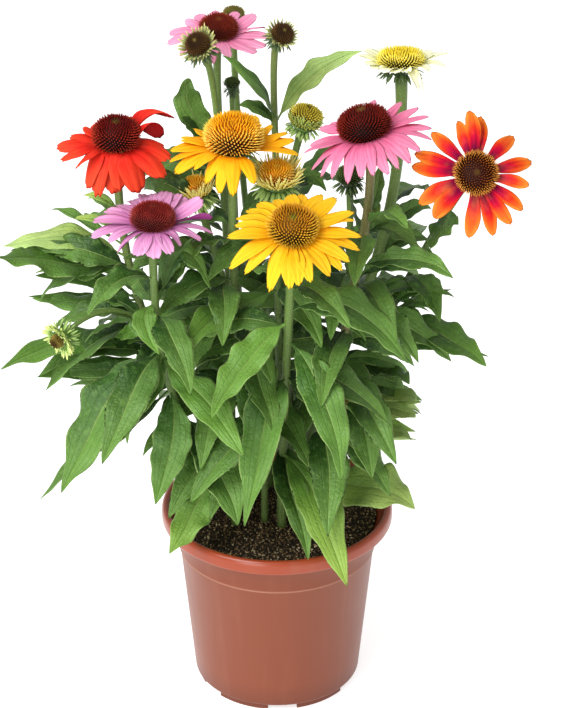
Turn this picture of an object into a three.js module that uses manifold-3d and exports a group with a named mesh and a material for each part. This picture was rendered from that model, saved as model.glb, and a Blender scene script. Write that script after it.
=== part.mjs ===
// Coneflower plant in a plastic nursery pot, 190 mm across the rim.
// Millimetres, +Z up. The origin is under the middle of the pot, on the plane it stands on.
// -Y is the front.
import * as THREE from "three";
import { mergeVertices } from "three/addons/utils/BufferGeometryUtils.js";
import Module from "manifold-3d";

const wasm = await Module();
wasm.setup();

// ---- Driving dimensions -------------------------------------------------------------------------

const CLEARANCE = 0.3; // kept between pieces that lie against each other

const POT = {
  rimRadius: 95,
  rimInnerRadius: 88,
  height: 162,
  rimHeight: 12,
  beadHeight: 5.5, // half the height of the rim's rounded top
  neckRadius: 84, // outside, just under the rim
  collarDrop: 37, // from the top of the rim down to the collar's step
  collarRadius: 81,
  step: 0.8, // how far the collar stands proud of the wall below it
  baseRadius: 69,
  baseEdge: 3, // rounding of the bottom edge
  wall: 2,
  floor: 4,
  footHeight: 5,
  footRadius: 66,
  footWidth: 6,
  footCount: 6,
  footGap: 24, // width of the notch between two feet
  firstNotch: -86, // degrees, the notch nearest the front
  padRadius: 12,
  drainRadius: 4,
  drainCircle: 40,
  segments: 32,
};

const SOIL = { belowRim: 8, mound: 1.5, crownRadius: 52 };

const STEM = {
  sides: 6,
  steps: 8,
  footRise: 95, // how far a stem goes up before it bends
  cupDepth: 9, // from the ring of rays down to the foot of the cup
  noddingCrest: 0.9, // share of the nodding bud's stem up to its highest place
};

// The cup of bracts under a head: radii as shares of the cone's.
const CUP = { neck: 0.45, top: 0.7, neckDrop: 4, sides: 8 };

const LEAF = {
  thickness: 0.8,
  petiole: 2.4, // width of the leaf stalk
  stalkShare: 0.1, // share of the length that is stalk
  tip: 1.2,
  fold: 0.22, // how far the two halves rise from the midrib, as a share of the half width
  stations: [0, 0.24, 0.6, 1],
  growth: 0.8, // exponents of the outline: below and above the widest place
  taper: 1.25,
  knee: 0.45, // where along the chord the arch is pulled up
};

const PETAL = {
  thickness: 0.8,
  disc: 1.6, // thickness of the disc that the rays grow from
  discShare: 0.85, // radius of the disc, and of the foot of a ray, as shares of the cone's
  footShare: 0.7,
  narrow: 0.45, // width at the foot, and what the middle and the tip add to it
  belly: 1.9,
  end: 0.1,
  longer: 0.05, // how far rays differ in length and in drop
  lower: 0.12,
};

// ---- Colours ------------------------------------------------------------------------------------

const COLOUR = {
  pot: 0xb06048,
  soil: 0x2a2019,
  stem: 0x6f9a4a,
  leaf: 0x4f8f3a,
  red: 0xf53a24,
  orange: 0xffae1c,
  pink: 0xf082b9,
  flame: 0xf0501e,
  lilac: 0xcd8cc8,
  yellow: 0xffcd2d,
  rose: 0xe676ae,
  cream: 0xfaf5c8,
  darkCone: 0x5a1612,
  amberCone: 0xd9780f,
  oliveCone: 0x9a6a1c,
  limeCone: 0xd9c62a,
  bud: 0x7d9440,
};

// ---- Stems: [root x, root y, head x, head y, head z, lean, lean direction, stem radius, handle] -----
// The head point is the middle of the ring of rays, or of the foot of a bud. Lean is in degrees from
// the vertical, and its direction in degrees from +X, so 270 leans to the front.

const STEMS = {
  red: [-39, 7, -123, -10, 489, 8, 275, 3.1, 230],
  orange: [-22, 14, -33, -10, 486, 3, 297, 3.2, 230],
  pink: [31, -11, 68, -20, 501, 12, 175, 3.3, 70],
  flame: [38, 4, 151, -42, 478, 61, 271, 2.8, 230],
  lilac: [-34, -21, -94, -60, 444, 2, 309, 2.9, 230],
  yellow: [4, -24, 12, -90, 452, 20, 274, 3.2, 120],
  rose: [-16, 27, -46, 82, 542, 8, 295, 2.9, 120],
  cream: [19, 26, 97, 60, 524, 8, 110, 4.2, 180],
  bud_brown: [-36, 15, -59, 28, 552, 40, 240, 2.6, 60],
  bud_tall: [13, 38, 3, 58, 549, 40, 300, 2.6, 40],
  bud_back: [-6, 40, -35, 140, 531, 10, 90, 2.6, 110],
  bud_lime: [12, 14, 21, 50, 478, 16, 353, 2.6, 100],
  bud_amber: [-10, -15, -62, 0, 440, 16, 165, 2.7, 200],
  bud_opening: [3, -11, 0, 2, 450, 8, 270, 2.8, 90],
  bud_nodding: [-39, -11, -166, -70, 352, 112, 225, 1.9, 100],
  bud_shaded: [24, 6, 57, 16, 446, 6, 255, 2.4, 230],
  bud_small: [-25, 33, -36, 104, 488, 6, 90, 1.9, 90],
  bud_inner: [32, -22, 52, -50, 288, 25, 300, 1.7, 40],
};

// ---- Flower heads: cone radius and height, number of rays, ray reach, drop and width ---------------

const FLOWERS = {
  red: [19.5, 23, 13, 31, 25, 20, "darkCone"],
  orange: [24, 28, 14, 32, 16, 14, "amberCone"],
  pink: [21.5, 24, 19, 31, 19, 12, "darkCone"],
  flame: [17.5, 15, 12, 34, 4, 11, "oliveCone"],
  lilac: [18, 18, 17, 36, 7, 12, "darkCone"],
  yellow: [22.5, 22, 20, 36, 12, 13, "oliveCone"],
  rose: [16, 16, 15, 30, 13, 12, "darkCone"],
  cream: [20, 15, 11, 22, 10, 11, "limeCone"],
};

// ---- Buds: radius and height -----------------------------------------------------------------------

const BUDS = {
  bud_brown: [13, 14],
  bud_tall: [11, 12],
  bud_back: [10, 12],
  bud_lime: [15.5, 15],
  bud_amber: [15, 17],
  bud_opening: [18, 19],
  bud_nodding: [12, 11],
  bud_shaded: [12, 12],
  bud_small: [7, 8],
  bud_inner: [8, 8],
};

// ---- Leaves: [stem, height on the stem, tip x, y, z, width, rise of the midrib, sway, roll] ---------
// Sway bends the midrib to the left as seen from the stem, and roll turns the blade about it, in degrees.
// These are the leaves that stand free at the outside, each a piece of its own.

const OUTER_LEAVES = [
  ["yellow", 360, -50, -120, 310, 29, 4, -10, -20],
  ["bud_opening", 355, -75, -105, 355, 28, 4, -12, -20],
  ["yellow", 340, 50, -130, 260, 33, 8, 18, 10],
  ["yellow", 370, 100, -90, 340, 34, 24, 8, 25],
  ["lilac", 325, -25, -135, 285, 30, 6, 0, 10],
  ["lilac", 375, -90, -85, 345, 20, 6, -20, 0],
  ["yellow", 300, -25, -125, 215, 34, 26, 0, -8],
  ["yellow", 225, 55, -125, 160, 36, 14, 4, 8],
  ["orange", 220, -30, -80, 205, 16, 4, 0, 0],
  ["bud_opening", 225, 25, -110, 175, 26, 12, -4, 0],
  ["lilac", 270, -30, -105, 205, 40, 0, 16, 0],
  ["lilac", 295, -95, -100, 220, 31, 4, 12, -6],
  ["lilac", 210, -85, -100, 175, 34, 4, 4, 0],
  ["bud_inner", 195, 110, -60, 195, 50, 0, 20, 25],
  ["pink", 290, 75, -85, 235, 33, 8, 8, 10],
  ["flame", 300, 165, -40, 310, 30, 6, 18, 14],
  ["lilac", 335, -170, -90, 225, 42, 0, -30, -20],
  ["lilac", 295, -190, -60, 200, 29, 0, 0, -10],
  ["red", 375, -215, -50, 410, 34, -4, -28, -25],
  ["red", 385, -215, 0, 395, 30, 12, 0, -20],
  ["red", 305, -215, -60, 320, 30, 4, -36, -20],
  ["bud_tall", 470, 65, 75, 530, 22, 2, 48, 30],
  ["flame", 410, 120, 0, 395, 26, 0, 4, 20],
  ["pink", 385, 135, -60, 400, 24, 10, 8, 20],
];

// These fill the plant behind them and are grown on to their stems.

const INNER_LEAVES = [
  ["red", 290, -190, -20, 290, 25, 18, 0, -20],
  ["red", 345, -195, 10, 345, 20, 4, 24, -20],
  ["red", 395, -180, 40, 410, 12, 12, 24, 0],
  ["red", 415, -150, 30, 425, 9, 8, 4, 0],
  ["red", 300, -150, 60, 290, 30, 20, 0, 0],
  ["rose", 440, -70, 60, 515, 24, 0, -36, 60],
  ["rose", 415, -95, 135, 415, 24, 12, 10, 0],
  ["rose", 330, -130, 110, 320, 30, 22, 0, 0],
  ["rose", 270, -100, 130, 235, 34, 22, 0, 0],
  ["bud_tall", 475, -40, 30, 545, 13, 6, 16, -60],
  ["bud_tall", 385, 35, 140, 390, 26, 18, 0, 0],
  ["bud_back", 400, -50, 205, 400, 26, 22, 0, 0],
  ["bud_back", 330, 20, 190, 310, 32, 24, 0, 0],
  ["bud_back", 270, -40, 165, 230, 34, 22, 0, 0],
  ["bud_back", 215, -10, 140, 180, 34, 18, 0, 0],
  ["cream", 350, 125, -5, 385, 20, 8, 20, 0],
  ["cream", 435, 60, 130, 450, 24, 16, 0, 0],
  ["cream", 350, 125, 140, 345, 24, 16, -10, 0],
  ["cream", 330, 145, 35, 335, 20, 10, 0, 0],
  ["cream", 310, 70, 150, 290, 32, 22, 0, 0],
  ["cream", 250, 120, 40, 220, 16, 14, 0, 0],
  ["cream", 240, 90, 100, 210, 34, 22, 0, 0],
  ["cream", 210, 60, 120, 175, 32, 16, 0, 0],
  ["flame", 260, 105, -30, 290, 22, 2, 12, 0],
  ["flame", 340, 140, 60, 340, 20, 10, 0, 0],
  ["pink", 340, 110, -70, 330, 26, 22, 0, 0],
  ["pink", 240, 90, -80, 215, 32, 14, 0, 0],
  ["pink", 425, 100, -60, 440, 20, 10, 0, 0],
  ["bud_shaded", 425, 80, -20, 430, 20, 8, 0, 0],
  ["bud_shaded", 380, 20, -25, 400, 24, 10, 0, 0],
  ["bud_shaded", 320, 110, 60, 330, 24, 12, 0, 0],
  ["orange", 400, -75, -45, 400, 22, 12, 0, 0],
  ["orange", 330, -75, -70, 305, 28, 20, 0, 0],
  ["orange", 285, -60, -90, 245, 32, 18, 0, 0],
  ["bud_amber", 370, -120, -30, 400, 26, 10, 0, 0],
  ["bud_amber", 320, -125, 40, 330, 26, 14, 0, 0],
  ["bud_amber", 240, -90, -60, 230, 28, 14, 0, 0],
  ["bud_opening", 330, 70, -70, 350, 24, 18, 0, 0],
  ["bud_opening", 295, 50, -90, 260, 30, 18, 0, 0],
  ["lilac", 370, -65, -40, 425, 26, 0, 6, -40],
  ["lilac", 325, -120, -75, 260, 20, 6, 0, -10],
  ["bud_amber", 310, -15, -90, 255, 32, 12, 0, 0],
  ["bud_brown", 435, -95, 50, 450, 18, 14, 24, 0],
  ["bud_brown", 250, -75, 110, 200, 30, 22, 0, 0],
  ["bud_lime", 420, 65, 85, 445, 20, 8, 0, 0],
  ["bud_lime", 300, 50, 110, 300, 28, 18, 0, 0],
  ["yellow", 400, -25, -55, 400, 20, 8, 0, 0],
  ["bud_nodding", 340, -150, -10, 350, 22, 12, 0, 0],
];

// ---- Foliage that follows a rule: [lowest, highest, count, outward direction, spread] ----------------
// The leaves of a stem alternate to the left and the right of its outward side, and shorten upwards.

const FOLIAGE = {
  red: [296, 395, 5, 165, 44],
  orange: [236, 400, 6, 262, 50],
  pink: [246, 412, 5, 282, 20],
  flame: [280, 336, 2, 252, 40],
  lilac: [330, 396, 3, 262, 30],
  yellow: [270, 392, 4, 266, 76],
  rose: [250, 412, 5, 128, 44],
  cream: [262, 440, 6, 88, 30],
  bud_brown: [250, 410, 4, 158, 36],
  bud_tall: [230, 400, 4, 84, 34],
  bud_back: [236, 420, 4, 98, 40],
  bud_lime: [236, 415, 5, 64, 40],
  bud_amber: [290, 390, 5, 240, 50],
  bud_opening: [246, 390, 5, 266, 52],
  bud_nodding: [290, 345, 3, 222, 30],
  bud_shaded: [286, 396, 4, 310, 40],
};

const FOLIAGE_LEAF = {
  longest: 98,
  shortest: 68,
  slender: 0.34, // width as a share of the length
  fall: 0.5, // how far the tip hangs below the foot, as a share of the length: lowest leaf
  topFall: 0.1, // and highest leaf
  rise: 14,
  roll: 20, // degrees, the side away from the plant's middle is the lower one
};

// ---- Geometry and solids ---------------------------------------------------------------------------

// A closed geometry as a solid that can be joined and cut, with its faces turned out.
function solidOf(geometry) {
  const bare = geometry.clone();
  bare.deleteAttribute("normal");
  bare.deleteAttribute("uv");
  const merged = mergeVertices(bare, 1e-4);
  const index = merged.index.array;
  const triangles = [];
  for (let i = 0; i < index.length; i += 3) {
    const [a, b, c] = [index[i], index[i + 1], index[i + 2]];
    if (a !== b && b !== c && c !== a) triangles.push(a, b, c);
  }
  const vertProperties = merged.attributes.position.array;
  const wound = (triVerts) => new wasm.Manifold(new wasm.Mesh({ numProp: 3, vertProperties, triVerts }));
  const solid = wound(Uint32Array.from(triangles));
  return solid.volume() > 0 ? solid : wound(Uint32Array.from(triangles.reverse()));
}

function geometryOf(solid) {
  const mesh = solid.getMesh();
  const geometry = new THREE.BufferGeometry();
  geometry.setAttribute("position", new THREE.BufferAttribute(mesh.vertProperties, 3));
  geometry.setIndex(new THREE.BufferAttribute(mesh.triVerts, 1));
  geometry.computeVertexNormals();
  return geometry;
}

// A solid of revolution about Z. The profile runs from the axis at the bottom to the axis at the top.
function turned(profile, segments) {
  const points = profile.map(([radius, height]) => new THREE.Vector2(radius, height));
  return new THREE.LatheGeometry(points, segments).rotateX(Math.PI / 2);
}

// Solids as one, with edges that bend by less than the tolerance taken out.
const TOLERANCE = 0.12;
const join = (solids) => solids.reduce((sum, next) => sum.add(next)).simplify(TOLERANCE);

// The largest separate piece of a solid.
function mainPiece(solid) {
  const pieces = solid.decompose();
  return pieces.reduce((best, next) => (next.volume() > best.volume() ? next : best));
}

const group = new THREE.Group();

function addMesh(name, solid, colour, roughness, parent = group) {
  const material = new THREE.MeshStandardMaterial({ color: colour, roughness, metalness: 0 });
  const mesh = new THREE.Mesh(geometryOf(solid), material);
  mesh.name = name;
  parent.add(mesh);
  return mesh;
}

// ---- Pot and soil ----------------------------------------------------------------------------------

const rimBottom = POT.height - POT.rimHeight;
const collarHeight = POT.height - POT.collarDrop;
const floorTop = POT.footHeight + POT.floor;

// The radius inside the wall at a height: a straight taper to the collar, then the collar's flare.
function insideRadius(height) {
  const low = { z: floorTop, r: POT.baseRadius - POT.wall };
  const step = { z: collarHeight, r: POT.collarRadius - POT.step - POT.wall };
  const neck = { z: rimBottom, r: POT.neckRadius - POT.wall };
  const top = { z: POT.height, r: POT.rimInnerRadius };
  const [from, to] = height < step.z ? [low, step] : height < neck.z ? [step, neck] : [neck, top];
  return THREE.MathUtils.mapLinear(height, from.z, to.z, from.r, to.r);
}

function rimBead() {
  const middle = { r: (POT.rimRadius + POT.rimInnerRadius) / 2, z: POT.height - POT.beadHeight };
  const half = (POT.rimRadius - POT.rimInnerRadius) / 2;
  const arc = [-25, 10, 45, 90, 135, 170];
  return arc.map((degrees) => {
    const angle = THREE.MathUtils.degToRad(degrees);
    return [middle.r + half * Math.cos(angle), middle.z + POT.beadHeight * Math.sin(angle)];
  });
}

function potSolid() {
  const footInner = POT.footRadius - POT.footWidth;
  const profile = [
    [0, 0],
    [POT.padRadius, 0],
    [POT.padRadius, POT.footHeight],
    [footInner, POT.footHeight],
    [footInner, 0],
    [POT.footRadius, 0],
    [POT.footRadius, POT.footHeight],
    [POT.baseRadius - POT.baseEdge / 3, POT.footHeight + 1],
    [POT.baseRadius, POT.footHeight + POT.baseEdge],
    [POT.collarRadius - POT.step, collarHeight - 1],
    [POT.collarRadius, collarHeight],
    [POT.neckRadius, rimBottom - 1],
    [POT.rimRadius - 2, rimBottom],
    ...rimBead(),
    [insideRadius(rimBottom), rimBottom],
    [insideRadius(collarHeight), collarHeight],
    [insideRadius(floorTop), floorTop],
    [0, floorTop],
  ];
  let pot = solidOf(turned(profile, POT.segments));
  for (let i = 0; i < POT.footCount; i++) {
    const angle = THREE.MathUtils.degToRad(POT.firstNotch + (i * 360) / POT.footCount);
    const notch = new THREE.BoxGeometry(POT.footWidth * 3, POT.footGap, POT.footHeight * 2);
    notch.translate(POT.footRadius, 0, 0).rotateZ(angle);
    const drain = new THREE.CylinderGeometry(POT.drainRadius, POT.drainRadius, floorTop * 3, 8);
    drain.rotateX(Math.PI / 2).translate(POT.drainCircle, 0, 0).rotateZ(angle);
    pot = pot.subtract(solidOf(notch)).subtract(solidOf(drain));
  }
  return pot;
}

const soilEdge = POT.height - SOIL.belowRim - SOIL.mound;
const soilTop = POT.height - SOIL.belowRim;

function soilSolid() {
  const bottom = floorTop + CLEARANCE;
  const radiusAt = (height) => insideRadius(height) - CLEARANCE * 1.2;
  const profile = [
    [0, bottom],
    [radiusAt(bottom) - CLEARANCE, bottom],
    [radiusAt(collarHeight), collarHeight],
    [radiusAt(rimBottom), rimBottom],
    [radiusAt(soilEdge), soilEdge],
    [SOIL.crownRadius, soilTop],
    [0, soilTop],
  ];
  return solidOf(turned(profile, POT.segments));
}

addMesh("pot", potSolid(), COLOUR.pot, 0.42);
addMesh("soil", soilSolid(), COLOUR.soil, 0.95);

// ---- Stems -----------------------------------------------------------------------------------------

function leanAxis(lean, direction) {
  const [tilt, turn] = [THREE.MathUtils.degToRad(lean), THREE.MathUtils.degToRad(direction)];
  return new THREE.Vector3(
    Math.sin(tilt) * Math.cos(turn),
    Math.sin(tilt) * Math.sin(turn),
    Math.cos(tilt),
  );
}

// The stem's path rises straight out of the soil and meets the head along the head's axis.
function stemOf(name) {
  const [rootX, rootY, x, y, z, lean, direction, radius, handle] = STEMS[name];
  const head = new THREE.Vector3(x, y, z);
  const axis = leanAxis(lean, direction);
  const root = new THREE.Vector3(rootX, rootY, soilTop + CLEARANCE);
  const path = new THREE.CubicBezierCurve3(
    root,
    root.clone().setZ(root.z + Math.min(STEM.footRise, (z - root.z) / 2)),
    head.clone().addScaledVector(axis, -handle),
    head.clone().addScaledVector(axis, -STEM.cupDepth),
  );
  return { name, head, axis, radius, path };
}

function stemTube(stem, grow = 0) {
  const corners = [];
  for (let i = 0; i < STEM.sides; i++) {
    const angle = (i * 2 * Math.PI) / STEM.sides;
    const reach = stem.radius + grow / Math.cos(Math.PI / STEM.sides);
    corners.push(new THREE.Vector2(reach * Math.cos(angle), reach * Math.sin(angle)));
  }
  const section = new THREE.Shape(corners);
  const options = { steps: STEM.steps, extrudePath: stem.path, bevelEnabled: false };
  return solidOf(new THREE.ExtrudeGeometry(section, options));
}

// The place on a stem at a height above the ground, found by halving.
function pointAtHeight(stem, height) {
  let [low, high] = [0, stem.name === "bud_nodding" ? STEM.noddingCrest : 1];
  for (let halving = 0; halving < 30; halving++) {
    const middle = (low + high) / 2;
    if (stem.path.getPoint(middle).z < height) low = middle;
    else high = middle;
  }
  return stem.path.getPoint(low);
}

const stems = Object.fromEntries(Object.keys(STEMS).map((name) => [name, stemOf(name)]));

// ---- Heads, each built upright about its own origin and then turned to its stem's lean -------------

function placeHead(stem) {
  const head = new THREE.Group();
  head.position.copy(stem.head);
  head.quaternion.setFromUnitVectors(new THREE.Vector3(0, 0, 1), stem.axis);
  head.updateMatrix();
  group.add(head);
  return head;
}

const matrixOf = (head) => head.matrix.elements;

// The green cup of bracts that the head sits in, from the stem out to the foot of the rays.
function cupSolid(coneRadius, stemRadius) {
  const top = -PETAL.disc / 2 - CLEARANCE;
  const profile = [
    [0, -STEM.cupDepth - 1],
    [stemRadius, -STEM.cupDepth - 1],
    [coneRadius * CUP.neck, top - CUP.neckDrop],
    [coneRadius * CUP.top, top],
    [0, top],
  ];
  return solidOf(turned(profile, CUP.sides));
}

// A strip with its foot in the disc: it leaves level, arches and falls to its tip. It is no broader
// than the gap to the next ray.
function raySolid(foot, reach, drop, width, angle, count) {
  const strip = new THREE.BoxGeometry(1, 1, 1, 1, 2, 1);
  const points = strip.getAttribute("position");
  for (let i = 0; i < points.count; i++) {
    const share = points.getY(i) + 0.5;
    const radius = foot + reach * share;
    const spacing = 2 * radius * Math.tan(Math.PI / count) - CLEARANCE;
    const outline = PETAL.narrow + PETAL.belly * share * (1 - share) + PETAL.end * share;
    const breadth = Math.min(spacing, width * outline);
    const height = -drop * share * share + points.getZ(i) * PETAL.thickness;
    points.setXYZ(i, points.getX(i) * breadth, radius, height);
  }
  strip.rotateZ(angle);
  return solidOf(strip);
}

// A small even change from ray to ray, between -1 and 1.
const vary = (i, seed) => Math.sin(i * 2.4 + seed * 1.7);

function raysSolid(name) {
  const [coneRadius, , count, reach, drop, width] = FLOWERS[name];
  const half = PETAL.disc / 2;
  const discRadius = coneRadius * PETAL.discShare;
  const disc = turned([[0, -half], [discRadius, -half], [discRadius, half], [0, half]], 12);
  const foot = coneRadius * PETAL.footShare;
  const rays = [];
  for (let i = 0; i < count; i++) {
    const long = reach * (1 + PETAL.longer * vary(i, 1));
    const low = drop * (1 + PETAL.lower * vary(i, 2));
    rays.push(raySolid(foot, long, low, width, (i * 2 * Math.PI) / count, count));
  }
  return join([solidOf(disc), ...rays]);
}

function coneSolid(name) {
  const [radius, height] = FLOWERS[name];
  const bottom = PETAL.disc / 2 + CLEARANCE;
  const profile = [
    [0, bottom],
    [radius * 0.86, bottom],
    [radius, height * 0.3],
    [radius * 0.93, height * 0.55],
    [radius * 0.66, height * 0.86],
    [0, height],
  ];
  return solidOf(turned(profile, 12));
}

function budSolid(name) {
  const [radius, height] = BUDS[name];
  const profile = [
    [0, -STEM.cupDepth - 1],
    [STEMS[name][7], -STEM.cupDepth - 1],
    [radius * 0.8, -3],
    [radius, height * 0.25],
    [radius * 0.9, height * 0.6],
    [radius * 0.5, height * 0.93],
    [0, height],
  ];
  return solidOf(turned(profile, 8));
}

// ---- Leaves ----------------------------------------------------------------------------------------

function leafWidth(share, width) {
  const blade = THREE.MathUtils.clamp((share - LEAF.stalkShare) / (1 - LEAF.stalkShare), 0, 1);
  const outline = (u) => u ** LEAF.growth * (1 - u) ** LEAF.taper;
  const widest = LEAF.growth / (LEAF.growth + LEAF.taper);
  const least = share < 0.5 ? LEAF.petiole : LEAF.tip;
  return Math.max(least, (width * outline(blade)) / outline(widest));
}

// A folded, arching blade: a flat box bent along its midrib.
function leafSolid([stemName, height, tipX, tipY, tipZ, width, rise, sway, roll], across, grow = 0) {
  const base = pointAtHeight(stems[stemName], height);
  const tip = new THREE.Vector3(tipX, tipY, tipZ);
  const chord = tip.clone().sub(base);
  const right = new THREE.Vector3(chord.y, -chord.x, 0).normalize();
  const knee = base.clone().addScaledVector(chord, LEAF.knee).addScaledVector(right, -sway);
  knee.z += rise * 2;
  const midrib = new THREE.QuadraticBezierCurve3(base, knee, tip);
  const turn = THREE.MathUtils.degToRad(roll);
  const blade = new THREE.BoxGeometry(1, 1, 1, across, LEAF.stations.length - 1, 1);
  const points = blade.getAttribute("position");
  for (let i = 0; i < points.count; i++) {
    const station = Math.round((points.getY(i) + 0.5) * (LEAF.stations.length - 1));
    const share = LEAF.stations[station];
    const along = midrib.getTangent(share);
    const up = right.clone().cross(along).normalize();
    const side = right.clone().multiplyScalar(Math.cos(turn)).addScaledVector(up, -Math.sin(turn));
    const face = side.clone().cross(along).normalize();
    const half = points.getX(i) * (leafWidth(share, width) + 2 * grow);
    const lift = Math.abs(half) * LEAF.fold + points.getZ(i) * (LEAF.thickness + 2 * grow);
    const end = share === 1 ? grow : 0;
    const place = midrib.getPoint(share).addScaledVector(along, end);
    place.addScaledVector(side, half).addScaledVector(face, lift);
    points.setXYZ(i, place.x, place.y, place.z);
  }
  return solidOf(blade);
}

// The rows of a stem's foliage, in the same form as the tables of leaves.
function foliageRows(name) {
  const [lowest, highest, count, outward, spread] = FOLIAGE[name];
  const { longest, shortest, slender, fall, topFall, rise, roll } = FOLIAGE_LEAF;
  const rows = [];
  for (let i = 0; i < count; i++) {
    const share = i / (count - 1);
    const height = THREE.MathUtils.lerp(lowest, highest, share);
    const length = THREE.MathUtils.lerp(longest, shortest, share);
    const side = i % 2 === 0 ? -1 : 1;
    const angle = THREE.MathUtils.degToRad(outward + side * spread * (0.6 + 0.35 * (i % 3)));
    const base = pointAtHeight(stems[name], height);
    const tipX = base.x + length * Math.cos(angle);
    const tipY = base.y + length * Math.sin(angle);
    const tipZ = height - length * THREE.MathUtils.lerp(fall, topFall, share);
    const turn = -roll * Math.cos(angle) * Math.sin(THREE.MathUtils.degToRad(outward));
    rows.push([name, height, tipX, tipY, tipZ, length * slender, rise, 0, turn]);
  }
  return rows;
}

// Everything a later leaf has to keep clear of, a little larger than it is.
const taken = Object.values(stems).map((stem) => ({
  owner: stem.name,
  solid: stemTube(stem, CLEARANCE),
}));

function boxesMeet(one, other) {
  const [a, b] = [one.boundingBox(), other.boundingBox()];
  return [0, 1, 2].every((axis) => a.min[axis] < b.max[axis] && b.min[axis] < a.max[axis]);
}

// The leaf without what its neighbours already fill. A folded blade is two faces across, a flat one one.
function clearedLeaf(row, owner, across) {
  let leaf = leafSolid(row, across);
  for (const other of taken) {
    if (other.owner !== owner && boxesMeet(leaf, other.solid)) leaf = leaf.subtract(other.solid);
  }
  taken.push({ owner, solid: leafSolid(row, across, CLEARANCE) });
  return mainPiece(leaf);
}

OUTER_LEAVES.forEach((row, i) => {
  const name = `leaf_${String(i + 1).padStart(2, "0")}`;
  addMesh(name, clearedLeaf(row, name, 2), COLOUR.leaf, 0.5);
});

const grownOn = Object.fromEntries(Object.keys(stems).map((name) => [name, []]));
const followingLeaves = Object.keys(FOLIAGE).flatMap(foliageRows);
for (const row of [...INNER_LEAVES, ...followingLeaves]) {
  grownOn[row[0]].push(clearedLeaf(row, row[0], 1));
}

// ---- Assembly --------------------------------------------------------------------------------------

for (const name of Object.keys(FLOWERS)) {
  const stem = stems[name];
  const [coneRadius, , , , , , coneColour] = FLOWERS[name];
  const head = placeHead(stem);
  const cup = cupSolid(coneRadius, stem.radius).transform(matrixOf(head));
  const stalk = mainPiece(join([stemTube(stem), cup, ...grownOn[name]]));
  addMesh(`stem_${name}`, stalk, COLOUR.stem, 0.6);
  addMesh(`rays_${name}`, raysSolid(name), COLOUR[name], 0.55, head);
  addMesh(`cone_${name}`, coneSolid(name), COLOUR[coneColour], 0.7, head);
}

for (const name of Object.keys(BUDS)) {
  const stem = stems[name];
  const bud = budSolid(name).transform(matrixOf(placeHead(stem)));
  addMesh(name, mainPiece(join([stemTube(stem), bud, ...grownOn[name]])), COLOUR.bud, 0.65);
}

export default group;
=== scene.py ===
import math

import bpy
import numpy as np
from mathutils import Matrix, Vector


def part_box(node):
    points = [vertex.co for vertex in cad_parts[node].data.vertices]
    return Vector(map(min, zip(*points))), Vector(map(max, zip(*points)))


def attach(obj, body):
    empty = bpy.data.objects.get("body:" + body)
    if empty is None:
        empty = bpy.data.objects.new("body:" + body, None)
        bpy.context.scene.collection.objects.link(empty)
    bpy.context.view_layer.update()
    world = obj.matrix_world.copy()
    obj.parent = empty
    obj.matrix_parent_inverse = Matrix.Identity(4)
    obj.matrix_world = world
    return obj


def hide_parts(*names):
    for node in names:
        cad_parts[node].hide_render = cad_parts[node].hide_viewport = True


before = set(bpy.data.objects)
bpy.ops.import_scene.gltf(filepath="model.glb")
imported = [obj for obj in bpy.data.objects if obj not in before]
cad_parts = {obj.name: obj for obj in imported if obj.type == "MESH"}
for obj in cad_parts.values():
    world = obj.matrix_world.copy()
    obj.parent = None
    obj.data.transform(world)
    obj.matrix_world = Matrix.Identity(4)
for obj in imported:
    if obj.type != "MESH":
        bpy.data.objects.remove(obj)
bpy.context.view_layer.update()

# ---- Camera ------------------------------------------------------------------------------------
# The plant is seen from the front and from above, through a long lens that keeps the pot's sides
# nearly straight. The lens is for Blender's own 36 mm sensor, which spans the taller side.

CAMERA_PLACE = (0.0037, -2.0, 1.3768)
CAMERA_DOWN = math.radians(28.3)
CAMERA_LENS = 144.2

camera = bpy.data.objects.new("camera", bpy.data.cameras.new("camera"))
camera.location = CAMERA_PLACE
camera.rotation_euler = (math.pi / 2 - CAMERA_DOWN, 0, 0)
camera.data.lens = CAMERA_LENS
bpy.context.scene.collection.objects.link(camera)
bpy.context.scene.camera = camera

# ---- Pot ---------------------------------------------------------------------------------------
# A nursery pot, moulded in one piece from terracotta-coloured polypropylene: a rolled rim, a collar
# that ends in a fine step, a plain tapering wall, six feet and six drain holes.

MM = 0.001  # shapes and tables are in millimetres, and a finished mesh is in metres

POT_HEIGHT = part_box("pot")[1].z / MM
RIM_RADIUS = 95
RIM_HEIGHT = 12
NECK_RADIUS = 84
COLLAR_DROP = 37  # from the top of the rim down to the step
COLLAR_RADIUS = 81
STEP = 0.8
BASE_RADIUS = 69
WALL = 2
FLOOR = 4
FOOT_HEIGHT = 5
FOOT_RADIUS = 66
FOOT_WIDTH = 6
FOOT_GAP = 24
FOOT_COUNT = 6
FIRST_NOTCH = math.radians(-86)
PAD_RADIUS = 12
DRAIN_RADIUS = 4
DRAIN_CIRCLE = 40
DRAIN_SIDES = 20
POT_SEGMENTS = 160
SHARP_EDGE = math.radians(40)  # an edge that turns further than this isn't shaded smooth
POT_COLOUR = (126, 66, 42)
RIM_COLOUR = (156, 60, 24)
SCUFF_COLOUR = (120, 54, 36)
DUST_COLOUR = (150, 92, 70)
# painted highlight along the collar's step
STEP_HIGHLIGHT_COLOUR = (200, 148, 124)
# painted shade towards the foot
FOOT_SHADE_COLOUR = (84, 42, 30)

rim_bottom = POT_HEIGHT - RIM_HEIGHT
collar_height = POT_HEIGHT - COLLAR_DROP
floor_top = FOOT_HEIGHT + FLOOR


def linear(colour, alpha=1.0):
    """A colour given as 0 to 255 a channel, as the shaders want it."""
    parts = [value / 255 for value in colour]
    return tuple(p / 12.92 if p <= 0.04045 else ((p + 0.055) / 1.055) ** 2.4 for p in parts) + (alpha,)


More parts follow.
